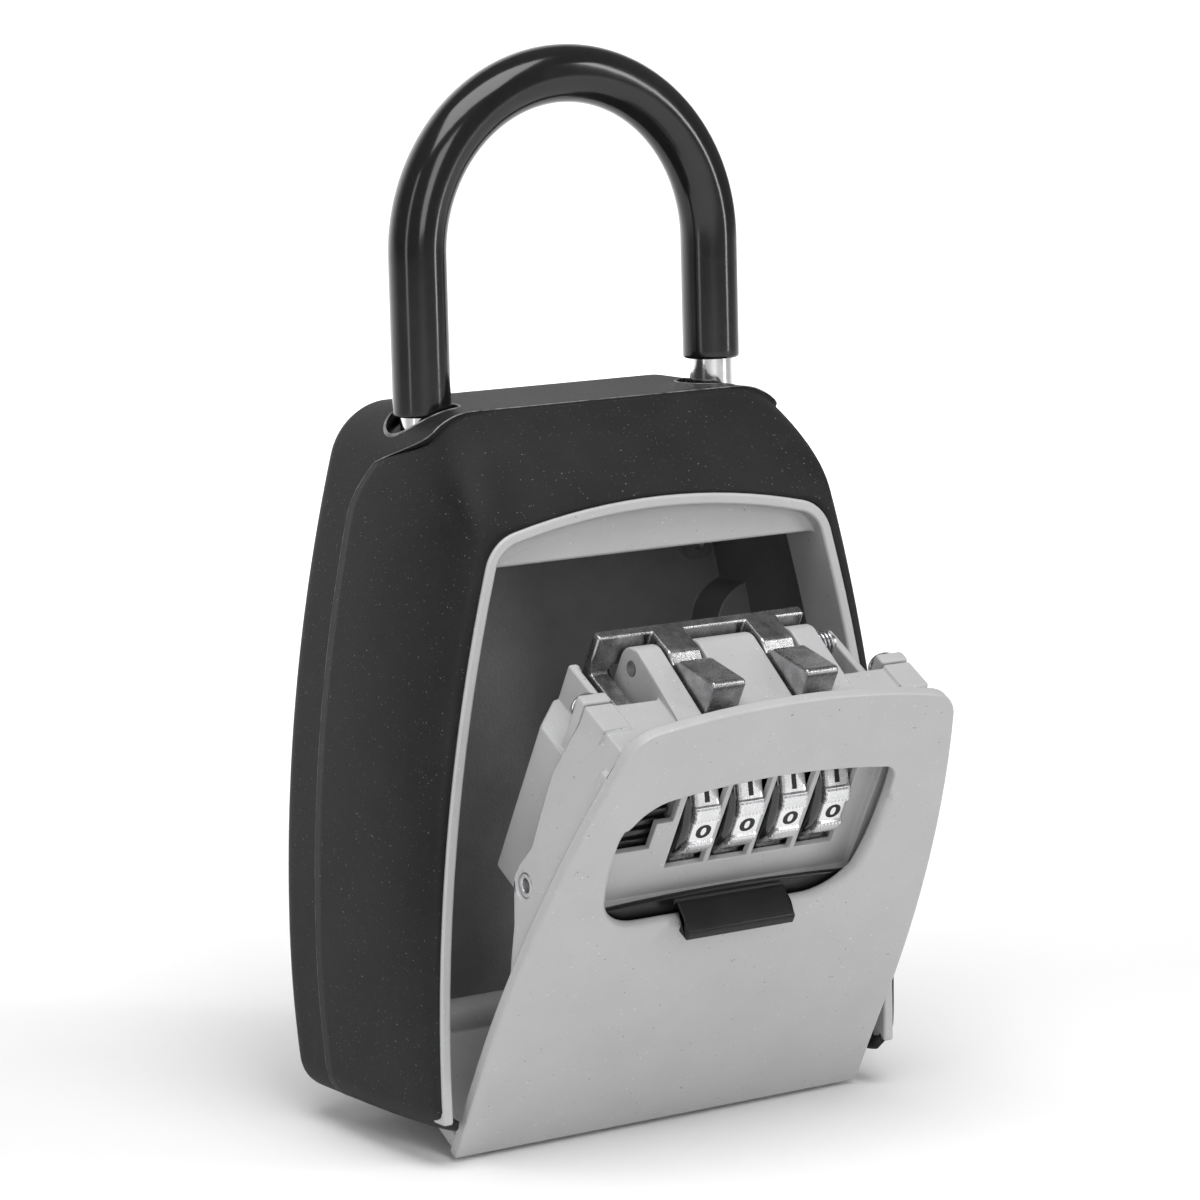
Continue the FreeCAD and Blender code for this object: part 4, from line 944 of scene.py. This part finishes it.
@dataclass
class Dial(SubAssembly):
    """One number dial: a chrome number ring on a black core with a finger flange."""

    number: int
    facets: int = 10
    first_angle: float = -29.0
    flat: float = 8.95
    ridge: float = 9.5
    bore: float = 6.5
    width: float = 4.2
    middle: float = 1.0
    digit_size: float = 3.0
    digit_weight: float = 0.09
    digit_proud: float = 0.02
    digit_stretch: float = 1.65

    @property
    def pitch(self) -> float:
        """The angle from one facet to the next."""
        return 360.0 / self.facets

    @property
    def joint(self) -> dict:
        """The dial's joint in the frame."""
        return next(joint for joint in frame["joints"] if joint["name"] == "dial_%d_turn" % self.number)

    def at(self, along: float, radius: float, angle: float) -> Vector:
        """A point at a radius, an angle above straight ahead, and a distance along the shaft."""
        centre = Vector(self.joint["pos_m"]) / MM
        turn = math.radians(angle)
        return centre + Vector((along, -radius * math.cos(turn), radius * math.sin(turn)))

    def radius_at(self, part: float, row: int, column: int) -> float:
        """The ring's radius at a part of a facet's pitch, with the knurl on its ridge."""
        flat_half, ridge_from, knurl_from = 0.27, 0.33, 0.36
        high, low = 0.14, -0.06
        away = abs(part - 0.5)
        if away <= flat_half:
            return self.flat / math.cos(math.radians((part - 0.5) * self.pitch))
        if away < ridge_from:
            return self.ridge + low
        knurl = high if (row + column) % 2 else low
        return self.ridge + (knurl if away > knurl_from else 0.0)

    def ring(self) -> bmesh.types.BMesh:
        """The number ring: ten flats with knurled ridges between them."""
        start = -self.width / 2.0 + self.middle
        columns = 14
        bevel, shoulder, edge = 0.30, 0.06, 0.12
        alongs = [start + self.width * (column / columns) for column in range(columns + 1)]
        parts = [0.0, 0.06, 0.12, 0.17, 0.19, 0.23, 0.30, 0.40, 0.50, 0.60, 0.70, 0.77, 0.81, 0.83,
                 0.88, 0.94]

        def loop(along: float, radius: Callable[[int, float], float]) -> list[Vector]:
            """A loop round the shaft, its radius told by a row of the knurl and a part of the pitch."""
            return [self.at(along, radius(row, part), self.first_angle + self.pitch * (facet + part - 0.5))
                    for facet in range(self.facets) for row, part in enumerate(parts)]

        def rim(along: float, shrink: float, column: int = 0) -> list[Vector]:
            """One loop of the ring's outside."""
            return loop(along, lambda row, part: self.radius_at(part, row, column) - shrink)

        rows = [loop(alongs[0], lambda row, part: self.bore), rim(alongs[0], bevel),
                rim(alongs[0] + edge, shoulder)]
        rows += [rim(along, 0.0, column) for column, along in enumerate(alongs[1:-1], start=1)]
        rows += [rim(alongs[-1] - edge, shoulder), rim(alongs[-1], bevel),
                 loop(alongs[-1], lambda row, part: self.bore), rows[0]]
        return Shape.close(Shape.grid(rows, closed=True))

    def core(self) -> bmesh.types.BMesh:
        """The core and its flange, whose rim is rounded."""
        profile = [(-2.9, 3.05), (-2.9, 7.4), (-2.8, 7.6), (-2.8, 8.3), (-2.55, 8.75), (-2.2, 8.98),
                   (-1.75, 9.0), (-1.45, 8.9), (-1.2, 8.6), (-1.15, 7.4), (-1.15, 6.5), (3.1, 6.5),
                   (3.1, 3.05), (-2.9, 3.05)]
        return Shape.lathe(profile, Matrix.Translation(Vector(self.joint["pos_m"]) / MM), 72)

    def digits(self) -> bmesh.types.BMesh:
        """The ten numbers, a hair proud of their flats."""
        made = bmesh.new()
        for facet in range(self.facets):
            text = bpy.data.curves.new("digit", "FONT")
            text.body = str(facet)
            text.size = self.digit_size * MM
            text.extrude = self.digit_proud * MM
            text.offset = self.digit_weight * MM
            text.align_x = "CENTER"
            text.align_y = "CENTER"
            holder = bpy.data.objects.new("digit", text)
            flat = bpy.data.meshes.new_from_object(holder)
            angle = math.radians(self.first_angle + self.pitch * facet)
            out = Vector((0.0, -math.cos(angle), math.sin(angle)))
            up = Vector((0.0, math.sin(angle), math.cos(angle)))
            turn = Matrix((Vector((1.0, 0.0, 0.0)), up, out)).transposed().to_4x4()
            lift = self.at(self.middle, self.flat + 0.01, math.degrees(angle)) * MM
            height = [vert.co.y for vert in flat.vertices]
            centre = Vector((0.0, -(max(height) + min(height)) / 2.0, 0.0))
            stretch = Matrix.Diagonal((self.digit_stretch, 1.0, 1.0, 1.0))
            flat.transform(Matrix.Translation(lift) @ turn @ stretch @ Matrix.Translation(centre))
            made.from_mesh(flat)
            bpy.data.objects.remove(holder)
            bpy.data.curves.remove(text)
            bpy.data.meshes.remove(flat)
        return made

    def build(self) -> None:
        """Makes the dial."""
        body = "dial_%d" % self.number
        self.add("number_ring_%d" % self.number, self.ring(), Finishes.RING,
                 ["dial_ring_%d" % self.number], body=body, smooth=20.0)
        self.add("dial_flange_%d" % self.number, self.core(), Finishes.DIAL_BLACK,
                 ["dial_core_%d" % self.number], body=body)
        self.add("numbers_%d" % self.number, self.digits(), Finishes.INK, body=body)


@dataclass
class LockParts(SubAssembly):
    """The release slider, latch fork, window shutter and reset lever."""

    def build(self) -> None:
        """Makes the moving parts of the lock."""
        self.add("slider_ribbed", Shape.softened("release_slider", 0.18), Finishes.SATIN_BLACK,
                 ["release_slider"], body="slider")
        self.add("latch_fork_polished", Shape.softened("latch_fork", 0.42, 3), Finishes.DARK_STEEL,
                 ["latch_fork"], body="fork")
        self.add("shutter_moulded", Shape.softened("shutter", 0.3, 3), Finishes.GLOSS_BLACK, ["shutter"],
                 body="window_shutter")
        self.add("reset_lever_cast", Shape.softened("reset_lever", 0.25), Finishes.DARK_STEEL,
                 ["reset_lever"], body="reset")


# ---------------- studio


@dataclass(frozen=True)
class Lamp:
    """A soft area light: where it hangs, its width and height, its watts and what it looks at."""

    name: str
    place: Spot
    size: Point
    power: float
    aim: Spot = (0.0, -20.0, -75.0)

    def hang(self) -> None:
        """Makes the light."""
        data = bpy.data.lights.new(self.name, "AREA")
        data.shape = "RECTANGLE"
        data.size, data.size_y = self.size[0] * MM, self.size[1] * MM
        data.energy = self.power
        holder = bpy.data.objects.new(self.name, data)
        bpy.context.scene.collection.objects.link(holder)
        look = Vector(self.aim) - Vector(self.place)
        holder.rotation_euler = look.to_track_quat("-Z", "Y").to_euler()
        holder.location = Vector(self.place) * MM


@dataclass
class Studio:
    """The camera, the pale floor and the soft lights."""

    lens: float = 136.6
    azimuth: float = -32.78
    elevation: float = 8.78
    roll: float = -1.48
    target: Spot = (4.33, 0.0, -73.0)
    distance: float = 669.3
    floor_gap: float = 0.5
    floor_curve: tuple[Point, ...] = ((-2500.0, 0.0), (900.0, 0.0), (1400.0, 60.0), (1750.0, 300.0),
                                      (1900.0, 900.0), (1900.0, 2400.0))
    lamps: tuple[Lamp, ...] = (
        Lamp("overhead", (-150.0, -350.0, 800.0), (900.0, 600.0), 8.9),
        Lamp("front_fill", (-350.0, -1200.0, 350.0), (420.0, 700.0), 3.7),
        Lamp("left_strip", (-900.0, -250.0, 100.0), (120.0, 900.0), 1.0),
        Lamp("right_strip", (700.0, -750.0, 150.0), (110.0, 900.0), 3.0),
        Lamp("backdrop_wash", (0.0, 500.0, 900.0), (2400.0, 500.0), 42.0, (500.0, 1900.0, 300.0)),
    )
    surroundings: float = 0.16

    def camera(self) -> None:
        """Makes the camera."""
        turn, rise, lean = (math.radians(angle) for angle in (self.azimuth, self.elevation, self.roll))
        back = Vector((math.sin(turn) * math.cos(rise), -math.cos(turn) * math.cos(rise), math.sin(rise)))
        right = (-back).cross(Vector((0.0, 0.0, 1.0))).normalized()
        up = right.cross(-back)
        across = right * math.cos(lean) + up * math.sin(lean)
        over = -right * math.sin(lean) + up * math.cos(lean)
        data = bpy.data.cameras.new("camera")
        data.lens = self.lens
        data.sensor_width = 36.0
        data.clip_start = 0.01
        holder = bpy.data.objects.new("camera", data)
        bpy.context.scene.collection.objects.link(holder)
        place = Matrix((across, over, back)).transposed().to_4x4()
        place.translation = (Vector(self.target) + back * self.distance) * MM
        holder.matrix_world = place
        bpy.context.scene.camera = holder

    def floor(self) -> None:
        """Makes the pale floor, with a curved rise far behind."""
        lowest = CAD_BOX[0][2] / MM - self.floor_gap
        rows = [[Vector((across, depth, lowest + lift)) for across in (-3000.0, -1000.0, 1000.0, 3000.0)]
                for depth, lift in self.floor_curve]
        floor = linked("floor", Shape.grid(rows))
        floor.data.shade_smooth()
        bench = Bench("pale_floor")
        tone = bench.mix(bench.noise(400.0), (0.90, 0.90, 0.90), (0.93, 0.93, 0.93))
        floor.data.materials.append(bench.finish({"Base Color": tone, "Roughness": 0.9}))

    def lights(self) -> None:
        """Hangs the lights and sets the pale surroundings."""
        for lamp in self.lamps:
            lamp.hang()
        world = bpy.data.worlds.new("pale_surroundings")
        world.use_nodes = True
        backdrop = world.node_tree.nodes["Background"]
        backdrop.inputs["Color"].default_value = (1.0, 1.0, 1.0, 1.0)
        backdrop.inputs["Strength"].default_value = self.surroundings
        bpy.context.scene.world = world
        bpy.context.scene.view_settings.view_transform = "Standard"

    def build(self) -> None:
        """Sets the stage."""
        self.camera()
        self.floor()
        self.lights()


def report_sizes() -> None:
    """Holds a helper that turns corners into plain lists; it writes nothing."""
    def plain(corners: Iterable[Iterable[float]]) -> list[list[float]]:
        """Corners as plain lists."""
        return [[float(value) for value in corner] for corner in corners]


def main() -> None:
    """Builds the stage and every sub-assembly."""
    logging.basicConfig(level=logging.INFO, format="%(name)s: %(message)s")
    Studio().build()
    for assembly in (Covers(), Housing(), Shackle(), Door(), LockParts()):
        LOG.info("building %s", type(assembly).__name__)
        assembly.build()
    for number in range(1, 5):
        Dial(number).build()
    report_sizes()


if __name__ == "__main__":
    main()
